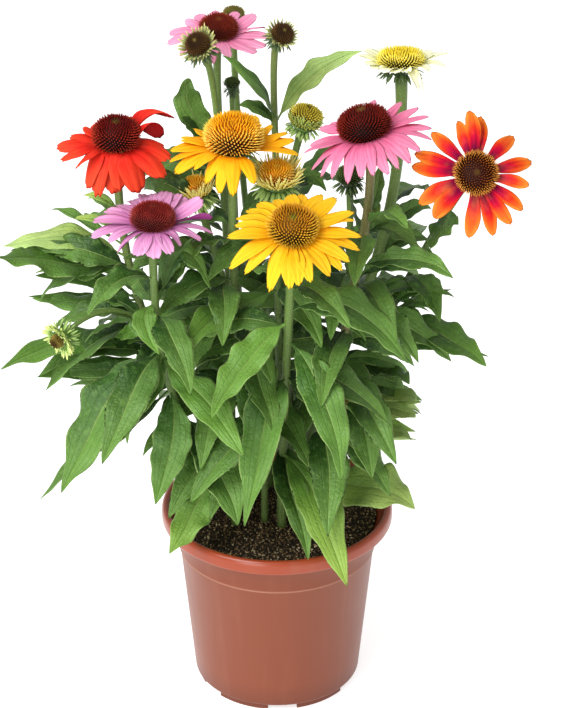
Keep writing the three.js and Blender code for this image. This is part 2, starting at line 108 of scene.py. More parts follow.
def node(tree, kind, inputs=None, **settings):
    """Adds a node. An input is a number, a colour or the socket that feeds it."""
    made = tree.nodes.new(kind)
    for key, value in settings.items():
        setattr(made, key, value)
    for key, value in (inputs or {}).items():
        if isinstance(value, bpy.types.NodeSocket):
            tree.links.new(value, made.inputs[key])
        else:
            made.inputs[key].default_value = value
    return made


def maths(tree, operation, *values):
    return node(tree, "ShaderNodeMath", dict(enumerate(values)), operation=operation).outputs[0]


def mix(tree, factor, first, second, how="MIX"):
    """Mixes two colours, or blends the second on to the first."""
    inputs = {0: factor, 6: first, 7: second}
    return node(tree, "ShaderNodeMix", inputs, data_type="RGBA", blend_type=how).outputs[2]


def band(tree, factor, stops):
    """A colour ramp from (place, shader colour) stops."""
    made = node(tree, "ShaderNodeValToRGB", {0: factor})
    elements = made.color_ramp.elements
    while len(elements) < len(stops):
        elements.new(0.5)
    for element, (place, colour) in zip(elements, stops):
        element.position = place
        element.color = colour
    return made.outputs[0]


def ramp(tree, factor, stops):
    """A ramp between colours, given as (place, colour) stops."""
    return band(tree, factor, [(place, linear(colour)) for place, colour in stops])


def grey_ramp(tree, factor, stops):
    """A ramp between plain values, given as (place, value) stops."""
    return band(tree, factor, [(place, (value, value, value, 1)) for place, value in stops])


def noise(tree, scale, vector, detail=2.0, roughness=0.5):
    inputs = {"Scale": scale, "Vector": vector, "Detail": detail, "Roughness": roughness}
    return node(tree, "ShaderNodeTexNoise", inputs).outputs[0]


def map_range(tree, number, to_low, to_high, low=0.0, high=1.0):
    """Turns low to high into to_low to to_high, and stops at both ends."""
    inputs = {0: number, 1: low, 2: high, 3: to_low, 4: to_high}
    return node(tree, "ShaderNodeMapRange", inputs).outputs[0]


def split(tree, vector):
    """The x, y and z of a vector."""
    return node(tree, "ShaderNodeSeparateXYZ", {0: vector}).outputs


def new_material(name, **surface):
    """A material, its node tree and its surface shader. A setting is a socket's name and number."""
    material = bpy.data.materials.new(name)
    material.use_nodes = True
    tree = material.node_tree
    shader = tree.nodes["Principled BSDF"]
    for key, value in surface.items():
        shader.inputs[key.replace("_", " ")].default_value = value
    return material, tree, shader


def feed(tree, shader, socket, value):
    tree.links.new(value, shader.inputs[socket])


def bump(tree, shader, height, strength, distance):
    """Fine relief in the surface. The distance is in metres."""
    inputs = {"Height": height, "Strength": strength, "Distance": distance}
    feed(tree, shader, "Normal", node(tree, "ShaderNodeBump", inputs).outputs[0])


def object_place(tree):
    return node(tree, "ShaderNodeTexCoord").outputs["Object"]


def pot_material():
    """A satin wall and a redder, glossier rim, with scuffs and dust, a painted highlight along the step
    and painted shade towards the foot.
    """
    settings = {"Coat_Roughness": 0.18, "Specular_IOR_Level": 0.25}
    material, tree, shader = new_material("terracotta plastic", **settings)
    place = object_place(tree)
    share = maths(tree, "DIVIDE", split(tree, place)[2], POT_HEIGHT * MM)
    rim = grey_ramp(tree, share, [(0.9, 0), (0.93, 1)])
    step = 1 - COLLAR_DROP / POT_HEIGHT
    # painted highlight: a thin pale line along the collar's step
    painted_step_highlight = grey_ramp(tree, share, [(step - 0.008, 0), (step, 0.55), (step + 0.008, 0)])
    # painted shade: the wall darkens towards the foot, where less light reaches
    painted_foot_shade = grey_ramp(tree, share, [(0.0, 0.5), (0.16, 0)])
    plain = mix(tree, rim, linear(POT_COLOUR), linear(RIM_COLOUR))
    cloud = noise(tree, 14, place, 3)
    scuffed = mix(tree, maths(tree, "MULTIPLY", cloud, 0.35), plain, linear(SCUFF_COLOUR))
    upright = node(tree, "ShaderNodeMapping", {"Vector": place, "Scale": (60, 60, 5)}).outputs[0]
    dusty = grey_ramp(tree, noise(tree, 1.0, upright, 3), [(0.52, 0), (0.8, 0.3)])
    dusted = mix(tree, dusty, scuffed, linear(DUST_COLOUR))
    edged = mix(tree, painted_step_highlight, dusted, linear(STEP_HIGHLIGHT_COLOUR))
    feed(tree, shader, "Base Color", mix(tree, painted_foot_shade, edged, linear(FOOT_SHADE_COLOUR)))
    feed(tree, shader, "Roughness", map_range(tree, cloud, 0.3, 0.46))
    feed(tree, shader, "Coat Weight", maths(tree, "MULTIPLY_ADD", rim, 0.4, 0.05))
    bump(tree, shader, noise(tree, 900, place, 2), 0.12, 0.0004)
    return material


def arc(radius, height, reach, rise, first, last, steps):
    """Profile points on an ellipse about (radius, height), between two angles in degrees."""
    angles = [math.radians(first + (last - first) * i / steps) for i in range(steps + 1)]
    return [(radius + reach * math.cos(a), height + rise * math.sin(a)) for a in angles]


def lathe(profile, segments):
    """Points and faces of a profile turned about the vertical axis. Its ends lie on the axis."""
    rings = profile[1:-1]
    angles = np.arange(segments) * 2 * math.pi / segments
    circle = np.stack([np.cos(angles), np.sin(angles)], 1)
    points = [(0, 0, profile[0][1])]
    for radius, height in rings:
        points += [(radius * x, radius * y, height) for x, y in circle]
    points.append((0, 0, profile[-1][1]))
    last = len(points) - 1
    faces = []
    for j in range(segments):
        k = (j + 1) % segments
        faces.append((0, 1 + k, 1 + j))
        for i in range(len(rings) - 1):
            low, high = 1 + i * segments, 1 + (i + 1) * segments
            faces.append((low + j, low + k, high + k, high + j))
        top = 1 + (len(rings) - 1) * segments
        faces.append((top + j, top + k, last))
    return np.array(points, float), faces


def add_mesh(name, points, faces, material=None):
    """An object in the scene, smooth shaded, from points in millimetres."""
    mesh = bpy.data.meshes.new(name)
    mesh.from_pydata((np.asarray(points) * MM).tolist(), [], [tuple(face) for face in faces])
    mesh.polygons.foreach_set("use_smooth", [True] * len(mesh.polygons))
    if material:
        mesh.materials.append(material)
    piece = bpy.data.objects.new(name, mesh)
    bpy.context.scene.collection.objects.link(piece)
    return piece


def apply_modifiers(piece):
    """Makes what a piece's modifiers give its own plain mesh."""
    bpy.context.view_layer.update()
    shown = piece.evaluated_get(bpy.context.evaluated_depsgraph_get())
    mesh = bpy.data.meshes.new_from_object(shown)
    piece.modifiers.clear()
    piece.data = mesh
    mesh.name = piece.name
    return piece


def finish_piece(piece, slot, *nodes):
    """The piece rides on the plant's one body, and stands for its nodes."""
    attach(piece, "root")
    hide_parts(*nodes)


def inside_radius(height):
    """The radius inside the pot's wall, which tapers to the collar's step and then flares."""
    low = (floor_top, BASE_RADIUS - WALL)
    step = (collar_height, COLLAR_RADIUS - STEP - WALL)
    neck = (rim_bottom, NECK_RADIUS - WALL)
    return float(np.interp(height, [low[0], step[0], neck[0]], [low[1], step[1], neck[1]]))


def pot_profile():
    """The pot's section, from the middle of its underside up the outside, over the rim and down the
    inside to the middle of its floor. Its short steps take the sharpness off the edges."""
    foot_inner = FOOT_RADIUS - FOOT_WIDTH
    base = [(0, 0), (PAD_RADIUS, 0), (PAD_RADIUS, FOOT_HEIGHT), (foot_inner, FOOT_HEIGHT)]
    feet = [(foot_inner, 0.4), (foot_inner + 0.5, 0), (FOOT_RADIUS - 0.6, 0), (FOOT_RADIUS, 0.5)]
    foot_top = [(FOOT_RADIUS, FOOT_HEIGHT - 0.5), (FOOT_RADIUS + 0.5, FOOT_HEIGHT)]
    edge = arc(BASE_RADIUS - 3, FOOT_HEIGHT + 3, 3, 3, -80, 0, 6)
    wall_top = COLLAR_RADIUS - STEP
    wall = [(wall_top, collar_height - 0.9), (wall_top + 0.15, collar_height - 0.5)]
    collar = arc(COLLAR_RADIUS - 0.1, collar_height + 0.2, 0.35, 0.5, -60, 60, 4)
    collar += [(COLLAR_RADIUS + 0.05, collar_height + 1.2), (NECK_RADIUS, rim_bottom - 1.6)]
    throat = [(NECK_RADIUS + 0.7, rim_bottom - 0.5), (NECK_RADIUS + 2.2, rim_bottom)]
    lip = arc(RIM_RADIUS - 2, rim_bottom + 2, 2, 2, -90, 0, 5)
    crown = arc(RIM_RADIUS - 3.6, POT_HEIGHT - 5.2, 3.6, 5.2, 8, 172, 14)
    throat_in = [(RIM_RADIUS - 8.2, POT_HEIGHT - 8), (inside_radius(rim_bottom) + 1, rim_bottom + 1)]
    inside = [(inside_radius(h), h) for h in (rim_bottom - 1, collar_height, floor_top + 3)]
    well = [(inside_radius(floor_top) - 2, floor_top), (0, floor_top)]
    outside = base + feet + foot_top + edge + wall + collar + throat + lip + crown
    return outside + throat_in + inside + well


def box_at(angle, radius, size):
    """The corners and faces of a block that stands across a radius of the pot."""
    turn = Matrix.Rotation(angle, 3, "Z")
    corners = []
    for x in (-1, 1):
        for y in (-1, 1):
            for z in (-1, 1):
                corner = Vector((radius + x * size[0] / 2, y * size[1] / 2, z * size[2] / 2))
                corners.append(tuple(turn @ corner))
    faces = [(0, 1, 3, 2), (4, 6, 7, 5), (0, 4, 5, 1), (2, 3, 7, 6), (0, 2, 6, 4), (1, 5, 7, 3)]
    return corners, faces


def rod_at(angle, radius, rod_radius, length):
    """The points and faces of an upright rod that stands on a radius of the pot."""
    half = length / 2
    points, faces = lathe([(0, -half), (rod_radius, -half), (rod_radius, half), (0, half)], DRAIN_SIDES)
    return points + (radius * math.cos(angle), radius * math.sin(angle), 0), faces


pot = add_mesh("pot_shell", *lathe(pot_profile(), POT_SEGMENTS), pot_material())
cut_points, cut_faces = [], []
for i in range(FOOT_COUNT):
    angle = FIRST_NOTCH + i * 2 * math.pi / FOOT_COUNT
    for points, faces in (
        box_at(angle, FOOT_RADIUS, (FOOT_WIDTH * 3, FOOT_GAP, FOOT_HEIGHT * 2)),
        rod_at(angle, DRAIN_CIRCLE, DRAIN_RADIUS, floor_top * 3),
    ):
        start = len(cut_points)
        cut_points += [tuple(point) for point in points]
        cut_faces += [tuple(start + corner for corner in face) for face in faces]
notches = add_mesh("notches", cut_points, cut_faces)
cut = pot.modifiers.new("notches", "BOOLEAN")
cut.object = notches
cut.solver = "EXACT"
apply_modifiers(pot)
bpy.data.objects.remove(notches)
pot.data.polygons.foreach_set("use_smooth", [True] * len(pot.data.polygons))
pot.data.set_sharp_from_angle(angle=SHARP_EDGE)
finish_piece(pot, "pot", "pot")

# ---- Soil --------------------------------------------------------------------------------------
# Peat compost that fills the pot to just under its rim. The bed is one lump, and loose crumbs of
# peat, bark and sand lie on it. They are poured in when the plant is potted.

SOIL_TOP = POT_HEIGHT - 8
SOIL_EDGE = SOIL_TOP - 1.5
SOIL_GAP = 0.6
SOIL_RINGS = 26
SOIL_SEGMENTS = 72
CRUMB_SIZE = 0.95
CRUMB_DENSITY = 0.3  # crumbs to a square millimetre
CRUMB_SEED = 7
FULL_TURN = 6.28


def set_inputs(modifier, values):
    """Sets a node tree's inputs by the names that its interface gives them."""
    for item in modifier.node_group.interface.items_tree:
        if item.item_type == "SOCKET" and item.in_out == "INPUT" and item.name in values:
            modifier[item.identifier] = values[item.name]


def new_recipe(name, inputs, takes_mesh=False):
    """A Geometry Nodes tree with named inputs. It returns the tree and its input and output nodes."""
    kinds = {float: "NodeSocketFloat", int: "NodeSocketInt", "material": "NodeSocketMaterial"}
    tree = bpy.data.node_groups.new(name, "GeometryNodeTree")
    tree.interface.new_socket("Geometry", in_out="OUTPUT", socket_type="NodeSocketGeometry")
    if takes_mesh:
        tree.interface.new_socket("Geometry", in_out="INPUT", socket_type="NodeSocketGeometry")
    for key, kind in inputs.items():
        tree.interface.new_socket(key, in_out="INPUT", socket_type=kinds[kind])
    return tree, tree.nodes.new("NodeGroupInput").outputs, tree.nodes.new("NodeGroupOutput")


def apply_recipe(piece, recipe, values):
    """Runs a Geometry Nodes tree on a piece, and makes what it gives the piece's plain mesh."""
    modifier = piece.modifiers.new(recipe.name, "NODES")
    modifier.node_group = recipe
    set_inputs(modifier, values)
    return apply_modifiers(piece)


def random_value(tree, low, high, seed):
    inputs = {2: low, 3: high, 8: seed}
    return node(tree, "FunctionNodeRandomValue", inputs, data_type="FLOAT").outputs[1]


def random_vector(tree, low, high, seed):
    inputs = {0: low, 1: high, 8: seed}
    return node(tree, "FunctionNodeRandomValue", inputs, data_type="FLOAT_VECTOR").outputs[0]


def keep(tree, geometry, name, value):
    """Stores a value on a geometry's points, under a name that its material reads."""
    inputs = {"Geometry": geometry, "Name": name, "Value": value}
    return node(tree, "GeometryNodeStoreNamedAttribute", inputs, data_type="FLOAT").outputs[0]


def attribute(tree, name):
    """What a material reads of a value that is kept on the mesh."""
    return node(tree, "ShaderNodeAttribute", attribute_name=name).outputs["Fac"]


def here(tree):
    return node(tree, "GeometryNodeInputPosition").outputs[0]


def scatter(tree, given, **choice):
    """Random points on the mesh that a recipe is given, then the mesh's normal at each."""
    inputs = {"Mesh": given["Geometry"], "Density": given["Density"], "Seed": given["Seed"]}
    return node(tree, "GeometryNodeDistributePointsOnFaces", inputs | choice).outputs


def copies(tree, points, shape, rotation, scale):
    """A copy of a shape on each point."""
    inputs = {"Points": points, "Instance": shape, "Rotation": rotation, "Scale": scale}
    return node(tree, "GeometryNodeInstanceOnPoints", inputs).outputs[0]


def turn_by(tree, euler):
    return node(tree, "FunctionNodeEulerToRotation", {0: euler}).outputs[0]


def finish_tree(tree, output, geometry, material):
    """Instances become real faces, smooth shaded and with their material."""
    real = node(tree, "GeometryNodeRealizeInstances", {0: geometry}).outputs[0]
    smooth = node(tree, "GeometryNodeSetShadeSmooth", {0: real}).outputs[0]
    inputs = {"Geometry": smooth, "Material": material}
    tree.links.new(node(tree, "GeometryNodeSetMaterial", inputs).outputs[0], output.inputs[0])


def join(tree, *geometries):
    made = tree.nodes.new("GeometryNodeJoinGeometry")
    for geometry in geometries:
        tree.links.new(geometry, made.inputs[0])
    return made.outputs[0]


def crumb_tree():
    """Loose crumbs on the faces that look up: lumpy balls of mixed size and tone."""
    inputs = {"Size": float, "Density": float, "Seed": int, "Material": "material"}
    tree, given, output = new_recipe("crumbs", inputs, takes_mesh=True)
    upward = split(tree, node(tree, "GeometryNodeInputNormal").outputs[0])[2]
    top = node(tree, "FunctionNodeCompare", {0: upward, 1: 0.5}, data_type="FLOAT").outputs[0]
    spots = scatter(tree, given, Selection=top)[0]
    toned = keep(tree, spots, "tone", random_value(tree, 0.0, 1.0, 3))
    shape = {"Radius": given["Size"], "Subdivisions": 1}
    ball = node(tree, "GeometryNodeMeshIcoSphere", shape).outputs[0]
    place = here(tree)
    away = map_range(tree, noise(tree, 900.0, place), -0.9, 0.9)
    push = node(tree, "ShaderNodeVectorMath", {0: place, "Scale": away}, operation="SCALE").outputs[0]
    crumb = node(tree, "GeometryNodeSetPosition", {"Geometry": ball, "Offset": push}).outputs[0]
    scale = random_vector(tree, (0.35, 0.35, 0.3), (1.7, 1.3, 1.0), 5)
    turn = random_vector(tree, (0, 0, 0), (FULL_TURN, FULL_TURN, FULL_TURN), 6)
    crumbs = copies(tree, toned, crumb, turn_by(tree, turn), scale)
    finish_tree(tree, output, join(tree, given["Geometry"], crumbs), given["Material"])
    return tree


def soil_material():
    """From dark peat over brown bark to pale grit, by the tone of each crumb."""
    settings = {"Roughness": 0.9, "Specular_IOR_Level": 0.25}
    material, tree, shader = new_material("peat compost", **settings)
    place = object_place(tree)
    crumb = ramp(tree, attribute(tree, "tone"), [
        (0.0, (34, 26, 16)), (0.4, (78, 60, 40)), (0.65, (112, 88, 58)),
        (0.82, (152, 124, 86)), (0.95, (196, 172, 132)), (1.0, (226, 210, 176)),
    ])
    cloud = grey_ramp(tree, noise(tree, 260, place, 4), [(0.3, 0.45), (0.75, 1.25)])
    feed(tree, shader, "Base Color", mix(tree, 1.0, crumb, cloud, "MULTIPLY"))
    bump(tree, shader, noise(tree, 1400, place, 3), 0.6, 0.0006)
    return material


def soil_bed():
    """The compost down to the pot's floor, with an uneven top."""
    bottom = floor_top + 0.5
    sides = [(inside_radius(h) - SOIL_GAP, h) for h in (bottom + 1, collar_height, rim_bottom - 2)]
    edge = inside_radius(rim_bottom) - SOIL_GAP
    profile = [(0, bottom), (sides[0][0] - 3, bottom)] + sides + [(edge, SOIL_EDGE - 1)]
    for i in range(SOIL_RINGS):
        radius = edge * (1 - (i + 0.3) / SOIL_RINGS)
        profile.append((radius, float(np.interp(radius, [50, edge], [SOIL_TOP, SOIL_EDGE])) - 1.2))
    profile.append((0, SOIL_TOP - 1.2))
    points, faces = lathe(profile, SOIL_SEGMENTS)
    top = points[:, 2] > SOIL_EDGE - 3
    x, y = points[:, 0], points[:, 1]
    lumps = np.sin(x * 0.31 + 1.3 * np.sin(y * 0.17)) * np.cos(y * 0.27 + np.sin(x * 0.13))
    points[:, 2] += np.where(top, 0.8 * lumps + 0.35 * np.sin(x * 0.9) * np.sin(y * 0.8), 0)
    return points, faces


soil_finish = soil_material()
soil = add_mesh("potting_soil", *soil_bed(), soil_finish)
apply_recipe(soil, crumb_tree(), {
    "Size": CRUMB_SIZE * MM, "Density": CRUMB_DENSITY / MM**2, "Seed": CRUMB_SEED,
    "Material": soil_finish,
})
finish_piece(soil, "soil", "soil")

# ---- Stalks ------------------------------------------------------------------------------------
# Each flower and bud stands on a stalk of its own, which comes straight up out of the soil. It is
# green, faintly ribbed and covered with short stiff hairs, and it swells a little under the head.

# [root x, root y, head x, head y, head z, lean, lean direction, radius, handle]
# The head point is the middle of the ring of rays, or of the foot of a bud. Lean is in degrees from
# the vertical, and its direction in degrees from +X, so 270 leans to the front.
STEMS = {
    "red": (-39, 7, -123, -10, 489, 8, 275, 3.1, 230),
    "orange": (-22, 14, -33, -10, 486, 3, 297, 3.2, 230),
    "pink": (31, -11, 68, -20, 501, 12, 175, 3.3, 70),
    "flame": (38, 4, 151, -42, 478, 61, 271, 2.8, 230),
    "lilac": (-34, -21, -94, -60, 444, 2, 309, 2.9, 230),
    "yellow": (4, -24, 12, -90, 452, 20, 274, 3.2, 120),
    "rose": (-16, 27, -46, 82, 542, 8, 295, 2.9, 120),
    "cream": (19, 26, 97, 60, 524, 8, 110, 4.2, 180),
    "bud_brown": (-36, 15, -59, 28, 552, 40, 240, 2.6, 60),
    "bud_tall": (13, 38, 3, 58, 549, 40, 300, 2.6, 40),
    "bud_back": (-6, 40, -35, 140, 531, 10, 90, 2.6, 110),
    "bud_lime": (12, 14, 21, 50, 478, 16, 353, 2.6, 100),
    "bud_amber": (-10, -15, -62, 0, 440, 16, 165, 2.7, 200),
    "bud_opening": (3, -11, 0, 2, 450, 8, 270, 2.8, 90),
    "bud_nodding": (-39, -11, -166, -70, 352, 112, 225, 1.9, 100),
    "bud_shaded": (24, 6, 57, 16, 446, 6, 255, 2.4, 230),
    "bud_small": (-25, 33, -36, 104, 488, 6, 90, 1.9, 90),
    "bud_inner": (32, -22, 52, -50, 288, 25, 300, 1.7, 40),
}
ROOT_HEIGHT = SOIL_TOP + 0.3
FOOT_RISE = 95  # how far a stalk goes up before it bends
CUP_DEPTH = 9  # from the ring of rays down to the top of the stalk
NODDING_CREST = 0.9  # share of the nodding bud's stalk up to its highest place
STALK_SIDES = 18
STALK_RINGS = 60
STALK_SINK = 4  # how far its foot goes down into the soil
RIBS = 6
RIB_DEPTH = 0.045  # as a share of the stalk's radius
HEAD_SWELL = 0.16
FOOT_SWELL = 0.12
SWELL_REACH = 0.05  # share of the stalk's length that each swelling takes
HAIR_LENGTH = 0.9
HAIR_THICKNESS = 0.07
HAIR_DENSITY = 0.22  # hairs to a square millimetre

# how far each stalk goes from green towards reddish brown
STALK_BROWN = {"pink": 0.75, "red": 0.25, "orange": 0.15, "bud_tall": 0.3, "bud_brown": 0.1}
LEAST_BROWN = 0.06
UPPER_GREEN = (96, 126, 54)
LOWER_GREEN = (74, 100, 38)


def unit(vectors):
    return vectors / np.maximum(np.linalg.norm(vectors, axis=-1, keepdims=True), 1e-9)


def head_axis(name):
    lean, direction = (math.radians(value) for value in STEMS[name][5:7])
    flat = math.sin(lean)
    return np.array([flat * math.cos(direction), flat * math.sin(direction), math.cos(lean)])


def stalk_knots(name):
    """The four points of a stalk's curve, which meets the head along the head's axis."""
    root_x, root_y, x, y, z, _, _, _, handle = STEMS[name]
    root = np.array([root_x, root_y, ROOT_HEIGHT])
    head = np.array([x, y, z])
    raised = root + (0, 0, min(FOOT_RISE, (z - ROOT_HEIGHT) / 2))
    return root, raised, head - head_axis(name) * handle, head - head_axis(name) * CUP_DEPTH


def stalk_point(name, share):
    a, b, c, d = stalk_knots(name)
    rest = 1 - share
    return rest**3 * a + 3 * rest**2 * share * b + 3 * rest * share**2 * c + share**3 * d


def stalk_at_height(name, height):
    """The place on a stalk at a height above the ground, found by halving."""
    low, high = 0.0, NODDING_CREST if name == "bud_nodding" else 1.0
    for _ in range(30):
        middle = (low + high) / 2
        if stalk_point(name, middle)[2] < height:
            low = middle
        else:
            high = middle
    return stalk_point(name, low)


def stalk_tube(name):
    """A ribbed tube along the stalk's curve, sunk a little into the soil and into the head."""
    radius = STEMS[name][7]
    shares = np.linspace(0, 1, STALK_RINGS)
    path = np.array([stalk_point(name, share) for share in shares])
    path[0, 2] -= STALK_SINK
    along = unit(np.gradient(path, axis=0))
    side = unit(np.cross(along, (0.0, 1.0, 0.2)))
    front = unit(np.cross(side, along))
    swell = 1.0 + HEAD_SWELL * np.exp(-((1 - shares) / SWELL_REACH) ** 2)
    swell += FOOT_SWELL * np.exp(-(shares / SWELL_REACH) ** 2)
    swell *= 1 + 0.02 * np.sin(shares * 37)
    angles = np.arange(STALK_SIDES) * 2 * math.pi / STALK_SIDES
    rib = 1 + RIB_DEPTH * np.cos(angles * RIBS)
    reach = radius * swell[:, None] * rib[None, :]
    cosines, sines = np.cos(angles)[None, :, None], np.sin(angles)[None, :, None]
    ring = side[:, None] * cosines + front[:, None] * sines
    points = (path[:, None] + ring * reach[..., None]).reshape(-1, 3)
    faces = []
    for i in range(STALK_RINGS - 1):
        for j in range(STALK_SIDES):
            k = (j + 1) % STALK_SIDES
            low, high = i * STALK_SIDES, (i + 1) * STALK_SIDES
            faces.append((low + j, high + j, high + k, low + k))
    faces.append(tuple(range(STALK_SIDES)))
    top = (STALK_RINGS - 1) * STALK_SIDES
    faces.append(tuple(top + j for j in reversed(range(STALK_SIDES))))
    return points, faces


def add_vectors(tree, first, second):
    return node(tree, "ShaderNodeVectorMath", {0: first, 1: second}, operation="ADD").outputs[0]


def point_along(tree, vector):
    """The turn that makes a shape's Z point along a vector."""
    return node(tree, "FunctionNodeAlignRotationToVector", {"Vector": vector}, axis="Z").outputs[0]


def taper(tree, given, vertices, segments):
    """A pointed cone of the recipe's thickness and length."""
    shape = {"Vertices": vertices, "Side Segments": segments, "Radius Top": 0.0}
    shape |= {"Radius Bottom": given["Thickness"], "Depth": given["Length"]}
    return node(tree, "GeometryNodeMeshCone", shape).outputs[0]


def hair_tree():
    """Short stiff hairs that stand out of the skin and bend mostly upwards."""
    inputs = {"Length": float, "Thickness": float, "Density": float, "Seed": int, "Material": "material"}
    tree, given, output = new_recipe("hairs", inputs, takes_mesh=True)
    spots = scatter(tree, given)
    marked = keep(tree, spots[0], "hair", 1.0)
    bent = random_vector(tree, (-0.5, -0.5, -0.1), (0.5, 0.5, 0.9), 11)
    turned = point_along(tree, add_vectors(tree, spots[1], bent))
    hairs = copies(tree, marked, taper(tree, given, 3, 1), turned, random_value(tree, 0.5, 1.3, 12))
    finish_tree(tree, output, join(tree, given["Geometry"], hairs), given["Material"])
    return tree


def stalk_material(name, brown):
    """Green with brown streaks and pale flecks, and paler on the hairs. It darkens downwards."""
    material, tree, shader = new_material(name, Roughness=0.55)
    place = object_place(tree)
    lower = map_range(tree, split(tree, place)[2], 0.0, 1.0, 0.45, 0.2)
    green = mix(tree, lower, linear(UPPER_GREEN), linear(LOWER_GREEN))
    lengthwise = node(tree, "ShaderNodeMapping", {"Vector": place, "Scale": (1, 1, 0.12)}).outputs[0]
    streak = noise(tree, 700, lengthwise, 3)
    patchy = maths(tree, "MULTIPLY", grey_ramp(tree, streak, [(0.35, 0.6), (0.65, 1)]), brown)
    skin = mix(tree, patchy, green, linear((112, 78, 52)))
    speck = grey_ramp(tree, noise(tree, 1300, place, 2), [(0.56, 0), (0.66, 0.5)])
    flecked = mix(tree, speck, skin, linear((150, 176, 104)))
    hairy = mix(tree, attribute(tree, "hair"), flecked, linear((190, 206, 150)))
    feed(tree, shader, "Base Color", hairy)
    bump(tree, shader, streak, 0.35, 0.0006)
    return material


def node_name(stem):
    """A bud and its stalk are one node of the frame, and a flower's stalk is a node of its own."""
    return stem if stem.startswith("bud") else f"stem_{stem}"


hairs = hair_tree()
for seed, name in enumerate(STEMS):
    finish = stalk_material(f"stalk green {name}", STALK_BROWN.get(name, LEAST_BROWN))
    stalk = add_mesh(f"stalk_{name}", *stalk_tube(name), finish)
    apply_recipe(stalk, hairs, {
        "Length": HAIR_LENGTH * MM, "Thickness": HAIR_THICKNESS * MM, "Density": HAIR_DENSITY / MM**2,
        "Seed": seed, "Material": finish,
    })
    finish_piece(stalk, "buds" if name.startswith("bud") else "stems", node_name(name))

# ---- Leaves ------------------------------------------------------------------------------------
# Lance-shaped leaves on short stalks: a satin green blade with a midrib and sunken side veins that
# run to the tip, a wavy pale edge and a lighter underside. They grow on the stalks in turn.

# The leaves that show most are a piece each: [stem, height on the stem, tip x, y, z, width, rise of
# the midrib, sway, roll, tone]. Sway bends the midrib to the left as seen from the stem, roll turns
# the blade about it, and tone goes from a dark leaf at 0 to one that turns yellow at 1.
OUTER_LEAVES = [
    ("yellow", 360, -50, -120, 310, 29, 4, -10, -20, 0.76),
    ("bud_opening", 355, -75, -105, 355, 28, 4, -12, -20, 0.68),
    ("yellow", 340, 50, -130, 260, 33, 8, 18, 10, 0.55),
    ("yellow", 370, 100, -90, 340, 34, 24, 8, 25, 0.4),
    ("lilac", 325, -25, -135, 285, 30, 6, 0, 10, 0.7),
    ("lilac", 375, -90, -85, 345, 20, 6, -20, 0, 0.77),
    ("yellow", 300, -25, -125, 215, 34, 26, 0, -8, 0.5),
    ("yellow", 225, 55, -125, 160, 36, 14, 4, 8, 0.83),
    ("orange", 220, -30, -80, 205, 16, 4, 0, 0, 0.85),
    ("bud_opening", 225, 25, -110, 175, 26, 12, -4, 0, 0.08),
    ("lilac", 270, -30, -105, 205, 40, 0, 16, 0, 0.25),
    ("lilac", 295, -95, -100, 220, 31, 4, 12, -6, 0.5),
    ("lilac", 210, -85, -100, 175, 34, 4, 4, 0, 0.8),
    ("bud_inner", 195, 110, -60, 195, 50, 0, 20, 25, 0.94),
    ("pink", 290, 75, -85, 235, 33, 8, 8, 10, 0.2),
    ("flame", 300, 165, -40, 310, 30, 6, 18, 14, 0.22),
    ("lilac", 335, -170, -90, 225, 42, 0, -30, -20, 0.42),
    ("lilac", 295, -190, -60, 200, 29, 0, 0, -10, 0.22),
    ("red", 375, -215, -50, 410, 34, -4, -28, -25, 0.45),
    ("red", 385, -215, 0, 395, 30, 12, 0, -20, 1.0),
    ("red", 305, -215, -60, 320, 30, 4, -36, -20, 0.7),
    ("bud_tall", 470, 65, 75, 530, 22, 2, 48, 30, 0.98),
    ("flame", 410, 120, 0, 395, 26, 0, 4, 20, 0.3),
    ("pink", 385, 135, -60, 400, 24, 10, 8, 20, 0.35),
]
